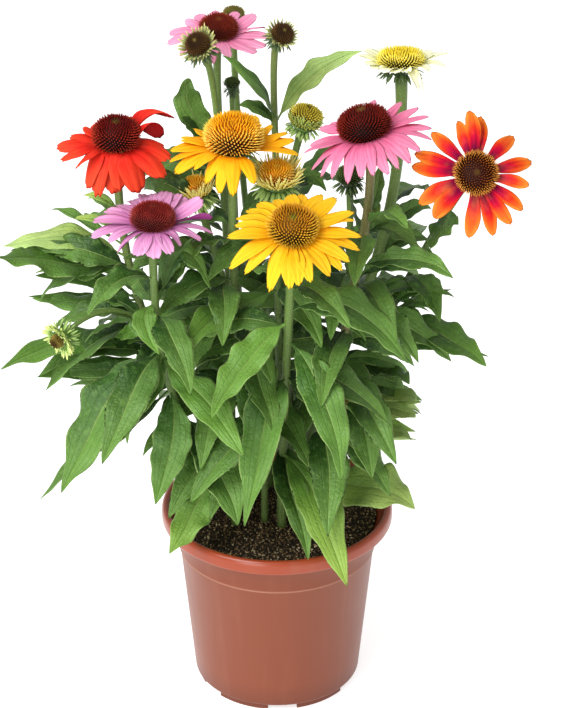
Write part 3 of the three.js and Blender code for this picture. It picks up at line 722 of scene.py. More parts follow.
# The large leaves between and behind them, by stem. They have no tone, and sway and roll only where
# they bend.
INNER_LEAVES = {
    "red": [
        (290, -190, -20, 290, 25, 18, 0, -20), (345, -195, 10, 345, 20, 4, 24, -20),
        (395, -180, 40, 410, 12, 12, 24, 0), (415, -150, 30, 425, 9, 8, 4, 0),
        (300, -150, 60, 290, 30, 20),
    ],
    "orange": [
        (400, -75, -45, 400, 22, 12), (330, -75, -70, 305, 28, 20), (285, -60, -90, 245, 32, 18),
    ],
    "pink": [
        (340, 110, -70, 330, 26, 22), (240, 90, -80, 215, 32, 14), (425, 100, -60, 440, 20, 10),
    ],
    "flame": [
        (260, 105, -30, 290, 22, 2, 12, 0), (340, 140, 60, 340, 20, 10),
    ],
    "lilac": [
        (370, -65, -40, 425, 26, 0, 6, -40), (325, -120, -75, 260, 20, 6, 0, -10),
    ],
    "yellow": [
        (400, -25, -55, 400, 20, 8),
    ],
    "rose": [
        (440, -70, 60, 515, 24, 0, -36, 60), (415, -95, 135, 415, 24, 12, 10, 0),
        (330, -130, 110, 320, 30, 22), (270, -100, 130, 235, 34, 22),
    ],
    "cream": [
        (350, 125, -5, 385, 20, 8, 20, 0), (435, 60, 130, 450, 24, 16),
        (350, 125, 140, 345, 24, 16, -10, 0), (330, 145, 35, 335, 20, 10), (310, 70, 150, 290, 32, 22),
        (250, 120, 40, 220, 16, 14), (240, 90, 100, 210, 34, 22), (210, 60, 120, 175, 32, 16),
    ],
    "bud_brown": [
        (435, -95, 50, 450, 18, 14, 24, 0), (250, -75, 110, 200, 30, 22),
    ],
    "bud_tall": [
        (475, -40, 30, 545, 13, 6, 16, -60), (385, 35, 140, 390, 26, 18),
    ],
    "bud_back": [
        (400, -50, 205, 400, 26, 22), (330, 20, 190, 310, 32, 24), (270, -40, 165, 230, 34, 22),
        (215, -10, 140, 180, 34, 18),
    ],
    "bud_lime": [
        (420, 65, 85, 445, 20, 8), (300, 50, 110, 300, 28, 18),
    ],
    "bud_amber": [
        (370, -120, -30, 400, 26, 10), (320, -125, 40, 330, 26, 14), (240, -90, -60, 230, 28, 14),
        (310, -15, -90, 255, 32, 12),
    ],
    "bud_opening": [
        (330, 70, -70, 350, 24, 18), (295, 50, -90, 260, 30, 18),
    ],
    "bud_nodding": [
        (340, -150, -10, 350, 22, 12),
    ],
    "bud_shaded": [
        (425, 80, -20, 430, 20, 8), (380, 20, -25, 400, 24, 10), (320, 110, 60, 330, 24, 12),
    ],
}
# Small leaves that fill the gaps, by stem, with all of an outer leaf's values.
SMALL_LEAVES = {
    "red": [
        (375, -210, 5, 390, 12, 16, 24, -45, 0.2), (360, -150, 0, 390, 15, 2, -24, -45, 0.3),
        (355, -135, -5, 390, 11, -2, -24, -45, 0.35), (360, -190, -5, 375, 9, 12, 0, -45, 0.8),
        (345, -190, -10, 375, 17, 2, -24, -45, 0.45), (330, -195, -5, 355, 15, -4, -24, -45, 0.3),
        (285, -195, 10, 275, 14, 8, 24, -45, 0.35), (275, -170, 20, 260, 11, 10, 24, -45, 0.1),
        (405, -160, 0, 420, 7, 12, 24, -45, 0.9), (425, -150, 0, 440, 7, 10, 16, -45, 0.9),
        (280, -190, -20, 290, 20, -4, -36, -45, 0.45), (375, -185, 10, 385, 26, 18, 36, -45, 0.15),
    ],
    "orange": [
        (355, -90, -10, 330, 20, -2, 0, -45, 0.2), (355, -90, -5, 345, 18, 10, 0, -45, 0.05),
        (300, -70, 5, 265, 22, 10, 0, -45, 0.02), (415, -55, 20, 395, 15, 16, 12, -45, 0.05),
    ],
    "pink": [
        (315, 110, -20, 300, 23, 16, 0, 45, 0.1), (375, 115, -10, 375, 17, 20, -24, 45, 0.15),
        (420, 80, 10, 465, 11, 4, -8, 45, 0.5), (410, 55, 10, 440, 13, 2, 0, 45, 0.1),
    ],
    "flame": [
        (310, 135, 50, 335, 11, 14, -24, 45, 0.6), (305, 140, 45, 335, 9, -2, 24, 45, 0.5),
        (280, 170, 15, 290, 11, 0, 24, 45, 0.5), (230, 120, 40, 225, 10, 16, -24, 45, 1),
        (215, 110, 40, 220, 8, 14, -24, 45, 1), (205, 115, 35, 200, 7, 14, -24, 45, 1),
        (245, 110, -50, 285, 13, -4, 36, 45, 1.0), (230, 110, -50, 270, 13, 0, 36, 45, 1.0),
        (220, 105, -50, 250, 12, -2, 36, 45, 1.0), (320, 130, 0, 355, 16, 6, 20, 45, 0.77),
        (310, 125, -10, 345, 14, 6, 20, 45, 0.7),
    ],
    "lilac": [
        (365, -50, -45, 380, 22, 40, 22, 45, 0.3), (360, -125, -65, 350, 14, -8, -24, -45, 0.6),
        (330, -110, -110, 300, 20, -4, 0, -10, 0.7), (380, -70, -30, 395, 14, 4, 0, 45, 0.05),
        (375, -110, -20, 390, 18, 0, 8, -45, 0.1),
    ],
    "rose": [
        (405, -110, 80, 420, 26, 24, 24, -45, 0.05), (395, -100, 80, 400, 22, 14, 12, -45, 0.02),
        (425, -85, 80, 435, 17, 12, -4, -45, 0.1), (440, -75, 60, 480, 16, 0, -28, -45, 0.1),
    ],
    "cream": [
        (380, 125, 70, 395, 14, 14, 0, 45, 0.3), (360, 125, 65, 370, 14, 12, 0, 45, 0.2),
        (335, 125, 55, 310, 8, 2, 24, 45, 0.5), (335, 130, 60, 335, 7, 6, 0, 45, 0.4),
        (250, 115, 10, 250, 24, -6, 36, 45, 1), (235, 115, 0, 245, 22, -6, 36, 45, 1),
        (220, 110, 0, 230, 22, -6, 36, 45, 1),
    ],
    "bud_tall": [
        (410, -35, 55, 435, 20, 12, 0, -45, 0.05), (195, 35, 40, 190, 22, 40, 0, 45, 0.08),
        (470, -30, 60, 490, 12, 8, 4, -45, 0.1),
    ],
    "bud_lime": [
        (400, -30, 45, 400, 20, 14, 0, -45, 0.02), (420, 40, 50, 420, 14, 14, 0, 45, 0.1),
        (290, 35, 30, 290, 22, 26, 0, 45, 0.05), (300, -15, 30, 295, 18, 34, 0, -45, 0.02),
        (245, -15, 20, 240, 20, 40, 0, -45, 0.05), (330, -35, 30, 355, 24, -2, -36, -45, 0.02),
    ],
    "bud_amber": [
        (425, -105, 10, 440, 22, 22, 28, -45, 0.05),
    ],
    "bud_nodding": [
        (345, -150, -70, 350, 17, 2, -6, 45, 0.5),
    ],
    "bud_shaded": [
        (390, 90, 15, 410, 14, 14, -24, 45, 0.3), (340, 20, 20, 355, 23, 10, -24, -45, 0.1),
        (345, 45, 30, 385, 18, 2, -22, 45, 0.05), (270, 105, 15, 260, 18, 14, 4, 45, 0.02),
        (280, 110, 30, 265, 13, 16, -24, 45, 0.6), (260, 120, 30, 240, 15, 14, -24, 45, 0.1),
        (300, -20, 20, 290, 34, 8, 0, -45, 0.05), (345, -30, 24, 330, 30, 8, 0, -45, 0.05),
    ],
}
# Foliage that follows a rule: [lowest, highest, count, outward direction, spread]. The leaves of a
# stem alternate to the left and the right of its outward side, and shorten upwards.
FOLIAGE = {
    "red": (296, 395, 5, 165, 44),
    "orange": (236, 400, 6, 262, 50),
    "pink": (246, 412, 5, 282, 20),
    "flame": (280, 336, 2, 252, 40),
    "lilac": (330, 396, 3, 262, 30),
    "yellow": (270, 392, 4, 266, 76),
    "rose": (250, 412, 5, 128, 44),
    "cream": (262, 440, 6, 88, 30),
    "bud_brown": (250, 410, 4, 158, 36),
    "bud_tall": (230, 400, 4, 84, 34),
    "bud_back": (236, 420, 4, 98, 40),
    "bud_lime": (236, 415, 5, 64, 40),
    "bud_amber": (290, 390, 5, 240, 50),
    "bud_opening": (246, 390, 5, 266, 52),
    "bud_nodding": (290, 345, 3, 222, 30),
    "bud_shaded": (286, 396, 4, 310, 40),
}
LONGEST_LEAF = 98
SHORTEST_LEAF = 68
SLENDER = 0.34  # width as a share of the length
LOW_FALL = 0.5  # how far the tip hangs below the foot, as a share of the length: lowest leaf
TOP_FALL = 0.1  # and highest leaf
FOLIAGE_RISE = 14
FOLIAGE_ROLL = 20

LEAF_STALK = 0.1  # share of the length that is stalk
LEAF_SWELL = 0.92  # exponent that puts the widest place below the middle
LEAF_POINT = 0.3  # how far the last third narrows to a drawn-out tip
LEAF_FOLD = 0.3  # how far the two halves rise from the midrib
LEAF_TWIST = 26  # how far a leaf may turn from its foot to its tip, in degrees
LEAF_THICKNESS = 0.55
# [steps along a leaf, columns across it]
OUTER_GRID = (44, 20)
INNER_GRID = (26, 12)
SMALL_GRID = (22, 12)
OUTER_SEED = 100
TONE_SEED = 500
INNER_SEED = 1000
SMALL_SEED = 2000
STEM_SEEDS = 40  # seeds that are kept for the leaves of one stem
# The inner leaves take dark tones: painted shade for leaves between and behind the others, spread at
# random between these two.
DARKEST, LIGHTEST = 0.0, 0.36  # tones of the inner leaves


def foliage_rows(name):
    lowest, highest, count, outward, spread = FOLIAGE[name]
    rows = []
    for i in range(count):
        share = i / (count - 1)
        height = lowest + (highest - lowest) * share
        length = LONGEST_LEAF + (SHORTEST_LEAF - LONGEST_LEAF) * share
        side = -1 if i % 2 == 0 else 1
        angle = math.radians(outward + side * spread * (0.6 + 0.35 * (i % 3)))
        base = stalk_at_height(name, height)
        x, y = base[0] + length * math.cos(angle), base[1] + length * math.sin(angle)
        z = height - length * (LOW_FALL + (TOP_FALL - LOW_FALL) * share)
        roll = -FOLIAGE_ROLL * math.cos(angle) * math.sin(math.radians(outward))
        rows.append((height, x, y, z, length * SLENDER, FOLIAGE_RISE, 0, roll))
    return rows


def leaf_breadth(share, width):
    """The width of a leaf along its length: a stalk, then a blade that is widest below its middle."""
    blade = np.clip((share - LEAF_STALK) / (1 - LEAF_STALK), 0, 1)
    breadth = width * np.sin(math.pi * blade**LEAF_SWELL) ** 0.75 * (1 - LEAF_POINT * blade**4)
    least = np.where(share < 0.5, 2.6 - 6 * np.minimum(share, 0.12), 0.5)
    return np.maximum(least, breadth)


def leaf_sheet(stem, row, grid, seed):
    """The middle surface of a leaf as a grid of points, and how thick the leaf is at each."""
    height, tip_x, tip_y, tip_z, width, rise, *bent = row
    sway, roll = bent or (0, 0)
    steps, columns = grid
    draw = np.random.default_rng(seed).uniform
    base = stalk_at_height(stem, height)
    tip = np.array([tip_x, tip_y, tip_z], float)
    chord = tip - base
    right = unit(np.array([chord[1], -chord[0], 0.0]))
    knee = base + 0.45 * chord - sway * right + (0, 0, 2 * rise)
    share = np.linspace(0, 1, steps + 1)[:, None]
    midrib = (1 - share) ** 2 * base + 2 * share * (1 - share) * knee + share**2 * tip
    along = unit(2 * (1 - share) * (knee - base) + 2 * share * (tip - knee))
    up = unit(np.cross(right, along))
    turn = np.radians(roll + draw(-LEAF_TWIST, LEAF_TWIST) * (share - 0.35))
    side = right * np.cos(turn) - up * np.sin(turn)
    face = unit(np.cross(side, along))
    length = np.linalg.norm(chord)
    bend = np.sin(math.pi * share)
    midrib = midrib + side * bend * np.sin(share * draw(4, 7) + draw(0, 6)) * length * 0.016
    midrib = midrib + face * bend * np.sin(share * draw(5, 9) + draw(0, 6)) * length * 0.012
    midrib = midrib - face * np.clip((share - 0.8) / 0.2, 0, 1) ** 2 * draw(-1, 4)

    across = np.linspace(-1, 1, columns + 1)[None, :]
    edge = np.abs(across)
    left = across < 0
    ripples = draw(2.6, 4.4, 2)
    phases = draw(0, FULL_TURN, 2)
    swings = [ripples[i] * FULL_TURN * share + phases[i] for i in (0, 1)]
    phase = np.where(left, *swings)
    open_blade = np.clip((share - LEAF_STALK) / 0.2, 0, 1) * np.clip((1 - share) / 0.15, 0, 1)
    half = leaf_breadth(share, width) / 2 * (1 + 0.05 * open_blade * np.cos(phase * 1.3) * edge**3)
    fold = LEAF_FOLD * draw(0.6, 1.7)
    curve = draw(0.05, 0.3)
    rolled = fold * edge - curve * edge**2 + 0.01 * np.sin(share * 25 + across * 4)
    wave = np.sin(phase) * edge**2 * open_blade * width * draw(0.05, 0.11)
    vein = 0.35 * np.exp(-((across / 0.06) ** 2)) + 0.16 * np.exp(-(((edge - 0.38) / 0.07) ** 2))
    vein = vein + 0.1 * np.exp(-(((edge - 0.7) / 0.06) ** 2))
    lift = rolled * half + wave - vein * open_blade * min(1.0, width / 30)
    sheet = midrib[:, None] + side[:, None] * (half * across)[..., None]
    sheet = sheet + face[:, None] * lift[..., None]
    thickness = LEAF_THICKNESS + 1.4 * np.exp(-((share / 0.1) ** 2))
    return sheet, thickness * np.sqrt(1 - edge**2) + 0 * share


def shell(sheet, thickness):
    """A closed shell about a grid of points: an upper and a lower face that share their edge."""
    rows, columns, _ = sheet.shape
    normal = unit(np.cross(np.gradient(sheet, axis=1), np.gradient(sheet, axis=0)))
    inner = np.zeros((rows, columns), bool)
    inner[1:-1, 1:-1] = True
    half = np.where(inner, thickness / 2, 0)[..., None] * normal
    upper = np.arange(rows * columns).reshape(rows, columns)
    lower = upper.copy()
    lower[inner] = rows * columns + np.arange(inner.sum())
    points = np.concatenate([(sheet + half).reshape(-1, 3), (sheet - half)[inner]])

    def quads(index):
        corners = index[:-1, :-1], index[:-1, 1:], index[1:, 1:], index[1:, :-1]
        return np.stack([corner.ravel() for corner in corners], 1)

    faces = np.concatenate([quads(upper), quads(lower)[:, ::-1]])
    under = np.repeat([0.0, 1.0], len(faces) // 2)
    along, across = np.meshgrid(np.linspace(0, 1, rows), np.linspace(0, 1, columns), indexing="ij")
    flat = np.stack([across, along], -1)
    return points, faces, under, np.concatenate([flat.reshape(-1, 2), flat[inner]])


def add_shells(name, shells, tones, material):
    """One object from several closed shells, with what their material reads: a UV map, which faces
    are underneath, and a tone for each shell."""
    points = np.concatenate([part[0] for part in shells])
    starts = np.cumsum([0] + [len(part[0]) for part in shells[:-1]])
    faces = np.concatenate([part[1] + start for part, start in zip(shells, starts)])
    under = np.concatenate([part[2] for part in shells])
    flat = np.concatenate([part[3] for part in shells])
    tone = np.concatenate([np.full(len(part[0]), value) for part, value in zip(shells, tones)])
    piece = add_mesh(name, points, faces.tolist(), material)
    mesh = piece.data
    corners = np.zeros(len(mesh.loops), np.int32)
    mesh.loops.foreach_get("vertex_index", corners)
    mesh.uv_layers.new(name="UVMap").data.foreach_set("uv", flat[corners].ravel())
    mesh.attributes.new("under", "FLOAT", "FACE").data.foreach_set("value", under)
    mesh.attributes.new("tone", "FLOAT", "POINT").data.foreach_set("value", tone)
    return piece


def blade_place(tree):
    """Where a point is on a leaf or a petal: across it and along it from 0 to 1, to the left and right
    of its middle from -1 to 1, and from its middle to its edge from 0 to 1."""
    across, along, _ = split(tree, node(tree, "ShaderNodeUVMap", uv_map="UVMap").outputs[0])
    centred = maths(tree, "MULTIPLY_ADD", across, 2.0, -1.0)
    return across, along, centred, maths(tree, "ABSOLUTE", centred)


def leaf_material():
    """Mottled green by the leaf's tone, with one half lighter as painted light and the tip lighter, a pale
    rib and edge, painted shade in the sunken side veins and a fine net, and a pale underside."""
    settings = {"Roughness": 0.48, "Specular_IOR_Level": 0.35}
    material, tree, shader = new_material("leaf green", **settings)
    place = object_place(tree)
    _, along, centred, edge = blade_place(tree)
    tone = attribute(tree, "tone")

    blade = ramp(tree, tone, [
        (0.0, (22, 50, 12)), (0.3, (42, 80, 22)), (0.6, (70, 114, 36)),
        (0.85, (114, 160, 60)), (1.0, (182, 206, 108)),
    ])
    cloud = noise(tree, 38, place, 3)
    clouded = mix(tree, grey_ramp(tree, cloud, [(0.35, 0), (0.7, 0.55)]), blade, linear((32, 66, 18)))
    mottle = grey_ramp(tree, noise(tree, 210, place, 3), [(0.5, 0), (0.68, 0.4)])
    mottled = mix(tree, mottle, clouded, linear((104, 144, 66)))
    # painted light: one half of each blade, left of the midrib, is made lighter as if lit
    painted_light_half = grey_ramp(tree, centred, [(0.0, 0.34), (0.02, 0)])
    with_painted_half_light = mix(tree, painted_light_half, mottled, linear((124, 168, 80)))
    tip = grey_ramp(tree, along, [(0.4, 0), (1.0, 0.6)])
    turning = ramp(tree, tone, [(0.78, (110, 152, 58)), (0.88, (196, 208, 84)), (0.98, (190, 220, 140))])
    tipped = mix(tree, tip, with_painted_half_light, turning)
    # painted shade: the side veins darken where the blade is sunken
    painted_vein_shade = grey_ramp(tree, edge, [
        (0.33, 0.0), (0.38, 0.35), (0.42, 0.0), (0.66, 0.0), (0.7, 0.3), (0.74, 0.0),
    ])
    with_painted_vein_shade = mix(tree, maths(tree, "MULTIPLY", painted_vein_shade, 0.6), tipped, linear((28, 56, 16)))
    rib = grey_ramp(tree, edge, [(0.02, 1), (0.06, 0)])
    low = grey_ramp(tree, along, [(0.0, 0.9), (0.4, 0.55), (0.95, 0.15)])
    ribbed = mix(tree, maths(tree, "MULTIPLY", rib, low), with_painted_vein_shade, linear((160, 186, 104)))
    border = grey_ramp(tree, edge, [(0.93, 0), (0.98, 0.8)])
    edged = mix(tree, border, ribbed, linear((160, 188, 108)))
    speck = grey_ramp(tree, noise(tree, 1500, place, 1), [(0.66, 0), (0.76, 0.35)])
    upper = mix(tree, speck, edged, linear((160, 184, 122)))
    pale = mix(tree, 0.5, blade, linear((112, 146, 78)))
    lower = mix(tree, maths(tree, "MULTIPLY", rib, 0.8), pale, linear((160, 184, 110)))
    feed(tree, shader, "Base Color", mix(tree, attribute(tree, "under"), upper, lower))

    cells = {"Vector": place, "Scale": 230.0}
    net = node(tree, "ShaderNodeTexVoronoi", cells, feature="DISTANCE_TO_EDGE").outputs[0]
    quilt = grey_ramp(tree, net, [(0.0, 0), (0.25, 1)])
    veins = grey_ramp(tree, edge, [
        (0.0, 0.1), (0.05, 0.9), (0.33, 1.0), (0.38, 0.7), (0.43, 1.0),
        (0.66, 1.0), (0.7, 0.75), (0.74, 1.0),
    ])
    height = maths(tree, "MULTIPLY_ADD", quilt, 0.3, veins)
    bump(tree, shader, height, 0.8, 0.001)
    feed(tree, shader, "Roughness", map_range(tree, cloud, 0.4, 0.56))
    return material


# tones of those inner leaves that show, by stem and height
INNER_TONES = {
    ("rose", 440): 0.85, ("bud_tall", 475): 0.3, ("red", 345): 0.6, ("red", 395): 0.75,
    ("red", 415): 0.8, ("cream", 350): 0.7, ("flame", 340): 0.6, ("pink", 425): 0.6,
    ("bud_amber", 310): 0.4,
}

leaf_finish = leaf_material()
for i, (stem, *row, tone) in enumerate(OUTER_LEAVES):
    sheet = leaf_sheet(stem, row, OUTER_GRID, OUTER_SEED + i)
    blade = add_shells(f"blade_{i + 1:02d}", [shell(*sheet)], [tone], leaf_finish)
    finish_piece(blade, "leaves", f"leaf_{i + 1:02d}")

for number, name in enumerate(STEMS):
    if name in FOLIAGE:
        rows = INNER_LEAVES.get(name, []) + foliage_rows(name)
        draw = np.random.default_rng(TONE_SEED + number).uniform
        shells, tones = [], []
        for i, row in enumerate(rows):
            seed = INNER_SEED + STEM_SEEDS * number + i
            shells.append(shell(*leaf_sheet(name, row, INNER_GRID, seed)))
            tones.append(INNER_TONES.get((name, row[0]), draw(DARKEST, LIGHTEST)))
        for i, (*row, tone) in enumerate(SMALL_LEAVES.get(name, [])):
            seed = SMALL_SEED + STEM_SEEDS * number + i
            shells.append(shell(*leaf_sheet(name, row, SMALL_GRID, seed)))
            tones.append(tone)
        bunch = add_shells(f"foliage_{name}", shells, tones, leaf_finish)
        finish_piece(bunch, "leaves", node_name(name))

# ---- Petals ------------------------------------------------------------------------------------
# Ray petals: soft strap-shaped blades with two fine grooves and a toothed end, one ring or two to a
# head. They grow from the rim of the receptacle, tucked in under the cone.

# [cone radius, cone height]
CONES = {
    "red": (19.5, 23), "orange": (24, 28), "pink": (21.5, 24), "flame": (17.5, 15),
    "lilac": (18, 18), "yellow": (20.5, 20), "rose": (16, 16), "cream": (20, 15),
}
# [direction, reach from the axis, height of the tip, width], and where a petal has them, its twist,
# the sideways sweep of its tip and the height of its shoulder. Directions run from +X against the
# clock, seen from above the head.
PETALS = {
    "red": [
        (182, 46, -5, 12, 45), (199, 45, -7, 15, -10), (216, 38, -10, 15, -35), (228, 33, -26, 14),
        (241, 32, -32, 16), (263, 25, -31, 18), (304, 33, -28, 22), (325, 46, -15, 22),
        (349, 43, -9, 18, -10), (15, 38, -8, 14, 20), (45, 44, 11, 15, 30, -18, 30), (95, 30, 0, 14),
        (22, 36, -4, 15, 100, 0, 27), (128, 30, 2, 14), (150, 30, 5, 12, -20), (278, 27, -27, 15, 10),
        (170, 37, 0, 12, 10), (70, 31, 6, 13),
    ],
    "orange": [
        (184, 49, -3, 16), (191, 50, -10, 15), (201, 48, -16, 14, 20), (219, 38, -9, 16, -10),
        (253, 38, -22, 13), (271, 39, -23, 13), (293, 42, -12, 12), (357, 51, -5, 16),
        (13, 48, 1, 17, 10), (27, 46, 3, 15, 20), (46, 41, 5, 15, 20), (66, 40, 9, 14), (88, 38, 3, 14),
        (115, 40, 1, 15), (136, 42, 0, 16, -20), (160, 43, 0, 16, -20), (173, 41, 2, 14, -20),
        (235, 36, -18, 12),
    ],
    "pink": [
        (140, 48, -2, 9, 50), (128, 45, -1, 8, 50), (190, 50, -2, 15), (197, 48, -15, 12),
        (211, 46, -18, 11), (228, 46, -17, 11), (244, 44, -21, 12), (260, 46, -16, 12),
        (272, 46, -16, 11), (285, 46, -18, 13), (298, 45, -17, 10), (311, 47, -16, 15),
        (327, 47, -12, 13), (352, 49, -12, 12), (2, 50, -7, 10, -20), (9, 50, 1, 12), (31, 49, 3, 13),
        (52, 48, 5, 12), (78, 46, 8, 11), (92, 46, 6, 10), (110, 48, 3, 10), (168, 46, -5, 11, 20),
    ],
    "flame": [
        (174, 49, -2, 12), (163, 49, -1, 11), (136, 46, -8, 11), (108, 43, -12, 11, 30),
        (96, 48, 1, 12), (84, 45, -12, 11), (45, 43, -18, 12), (14, 45, -11, 12), (346, 41, 8, 10),
        (322, 45, 9, 11), (304, 47, 6, 11), (286, 49, -3, 11), (265, 49, -4, 12), (226, 47, 5, 14),
        (208, 49, -2, 13),
    ],
    "lilac": [
        (178, 46, 0, 13), (188, 47, -9, 13), (219, 41, -3, 12, -10), (131, 42, 0, 14), (117, 42, 1, 13),
        (101, 42, 5, 14), (89, 41, 6, 13), (77, 42, 8, 14), (64, 42, 8, 13), (22, 41, 14, 15, -20),
        (5, 46, 5, 11, 65), (355, 47, -5, 12), (312, 33, -6, 13, 45), (273, 40, -9, 15),
        (256, 41, -7, 13), (234, 43, -7, 9, -50), (48, 42, 5, 13), (338, 40, -6, 11, 20),
        (155, 42, 1, 12), (294, 37, -8, 12),
    ],
    "yellow": [
        (246, 42, -26, 14), (267, 47, -13, 15), (276, 49, -7, 13), (286, 49, -5, 12), (305, 49, -5, 15),
        (320, 49, -8, 13), (329, 50, -4, 13), (348, 52, -7, 13), (358, 52, -2, 13, 10), (22, 50, 4, 13),
        (47, 49, 1, 13), (63, 48, -2, 13), (73, 46, -8, 11, 20), (81, 46, -5, 12), (92, 45, -5, 13),
        (108, 44, -8, 12), (126, 46, -8, 13), (140, 46, -8, 13), (158, 46, -4, 13), (190, 50, 1, 13),
        (207, 53, -16, 15), (221, 47, -15, 12), (172, 44, 0, 12), (10, 48, 5, 11, 20),
    ],
    "rose": [
        (193, 41, -7, 9, 40), (180, 39, -3, 11, 20), (155, 30, 2, 9, 40), (215, 36, -11, 11),
        (236, 33, -12, 11), (261, 29, -12, 11, 20), (286, 33, -3, 11), (315, 43, 1, 15),
        (330, 43, 2, 13), (348, 43, 4, 14), (8, 38, 5, 10, 40), (35, 35, 8, 14), (64, 33, 4, 11),
        (95, 34, 2, 10), (126, 32, 1, 11),
    ],
    "cream": [
        (172, 34, 8, 13), (150, 33, 10, 14), (126, 32, 9, 13), (102, 31, 8, 13), (78, 31, 7, 13),
        (54, 31, 6, 12), (32, 33, 5, 12), (12, 40, 6, 11, 10), (352, 37, -2, 10), (322, 28, -2, 10),
        (300, 28, -17, 11), (280, 24, 0, 12), (258, 25, 0, 13), (236, 26, 0, 14), (214, 28, 1, 14),
        (194, 31, 4, 14),
    ],
}
# The shape of each head's petals: how far the end is rounded, how deep its teeth are, how far it
# narrows to the end, how far its edges rise (or fall, below zero), its breadth at the foot, and how
# far along it is widest, all as shares of the petal's size.
PETAL_SHAPES = {
    "red": (0.18, 0.03, 0.25, -0.3, 0.55, 0.55), "orange": (0.16, 0.02, 0.45, -0.2, 0.6, 0.5),
    "pink": (0.2, 0.02, 0.5, -0.15, 0.55, 0.5), "flame": (0.22, 0.012, 0.3, -0.1, 0.5, 0.62),
    "lilac": (0.15, 0.03, 0.18, 0.12, 0.55, 0.55), "yellow": (0.2, 0.03, 0.5, 0.1, 0.55, 0.5),
    "rose": (0.15, 0.03, 0.35, -0.15, 0.55, 0.5), "cream": (0.08, 0.12, 0.2, 0.2, 0.6, 0.5),
}
# Colours from foot to tip.
PETAL_COLOURS = {
    "red": [(0, (150, 10, 10)), (0.45, (226, 40, 26)), (1, (238, 74, 42))],
    "orange": [(0, (232, 134, 6)), (0.5, (250, 174, 12)), (1, (252, 200, 36))],
    "pink": [(0, (196, 66, 106)), (0.4, (228, 114, 152)), (1, (236, 150, 180))],
    "flame": [
        (0, (60, 0, 28)), (0.28, (126, 0, 54)), (0.48, (194, 2, 48)),
        (0.66, (220, 46, 16)), (0.86, (236, 102, 22)), (1, (240, 134, 42)),
    ],
    "lilac": [(0, (180, 90, 154)), (0.4, (216, 138, 190)), (1, (236, 174, 212))],
    "yellow": [(0, (222, 140, 6)), (0.35, (246, 182, 20)), (1, (250, 202, 44))],
    "rose": [(0, (206, 88, 130)), (0.4, (236, 142, 178)), (1, (244, 168, 198))],
    "cream": [(0, (226, 224, 120)), (0.35, (246, 244, 190)), (1, (252, 252, 232))],
}
# colours of the streaks and of the underside
STREAK_COLOURS = {
    "red": ((172, 18, 16), (146, 24, 28)), "orange": ((222, 122, 8), (246, 190, 56)),
    "pink": ((186, 62, 108), (210, 98, 136)), "flame": ((136, 2, 28), (196, 66, 26)),
    "lilac": ((160, 78, 142), (140, 58, 120)), "yellow": ((218, 142, 12), (240, 206, 110)),
    "rose": ((198, 82, 128), (192, 94, 132)), "cream": ((226, 226, 150), (244, 243, 206)),
}
# how much further along its colours a petal's edge is than its middle
PETAL_RIM = 0.06
FLAME_RIM = 0.28
PETAL_FOOT = 0.62  # distance of a petal's foot from the axis, as a share of the cone's radius
PETAL_SINK = -1.2  # its height
PETAL_THICKNESS = 0.45
PETAL_GRID = (22, 12)  # steps along a petal, columns across it
PETAL_SEED = 3000
HEAD_SEEDS = 50  # seeds that are kept for the petals of one head
SHADE_SEED = 700


def smooth_step(values):
    values = np.clip(values, 0, 1)
    return values * values * (3 - 2 * values)


def head_matrix(name):
    """Turns and moves a head from the origin, where it faces straight up, to its stalk. Millimetres."""
    turn = Vector((0, 0, 1)).rotation_difference(Vector(head_axis(name)))
    return Matrix.Translation(STEMS[name][2:5]) @ turn.to_matrix().to_4x4()


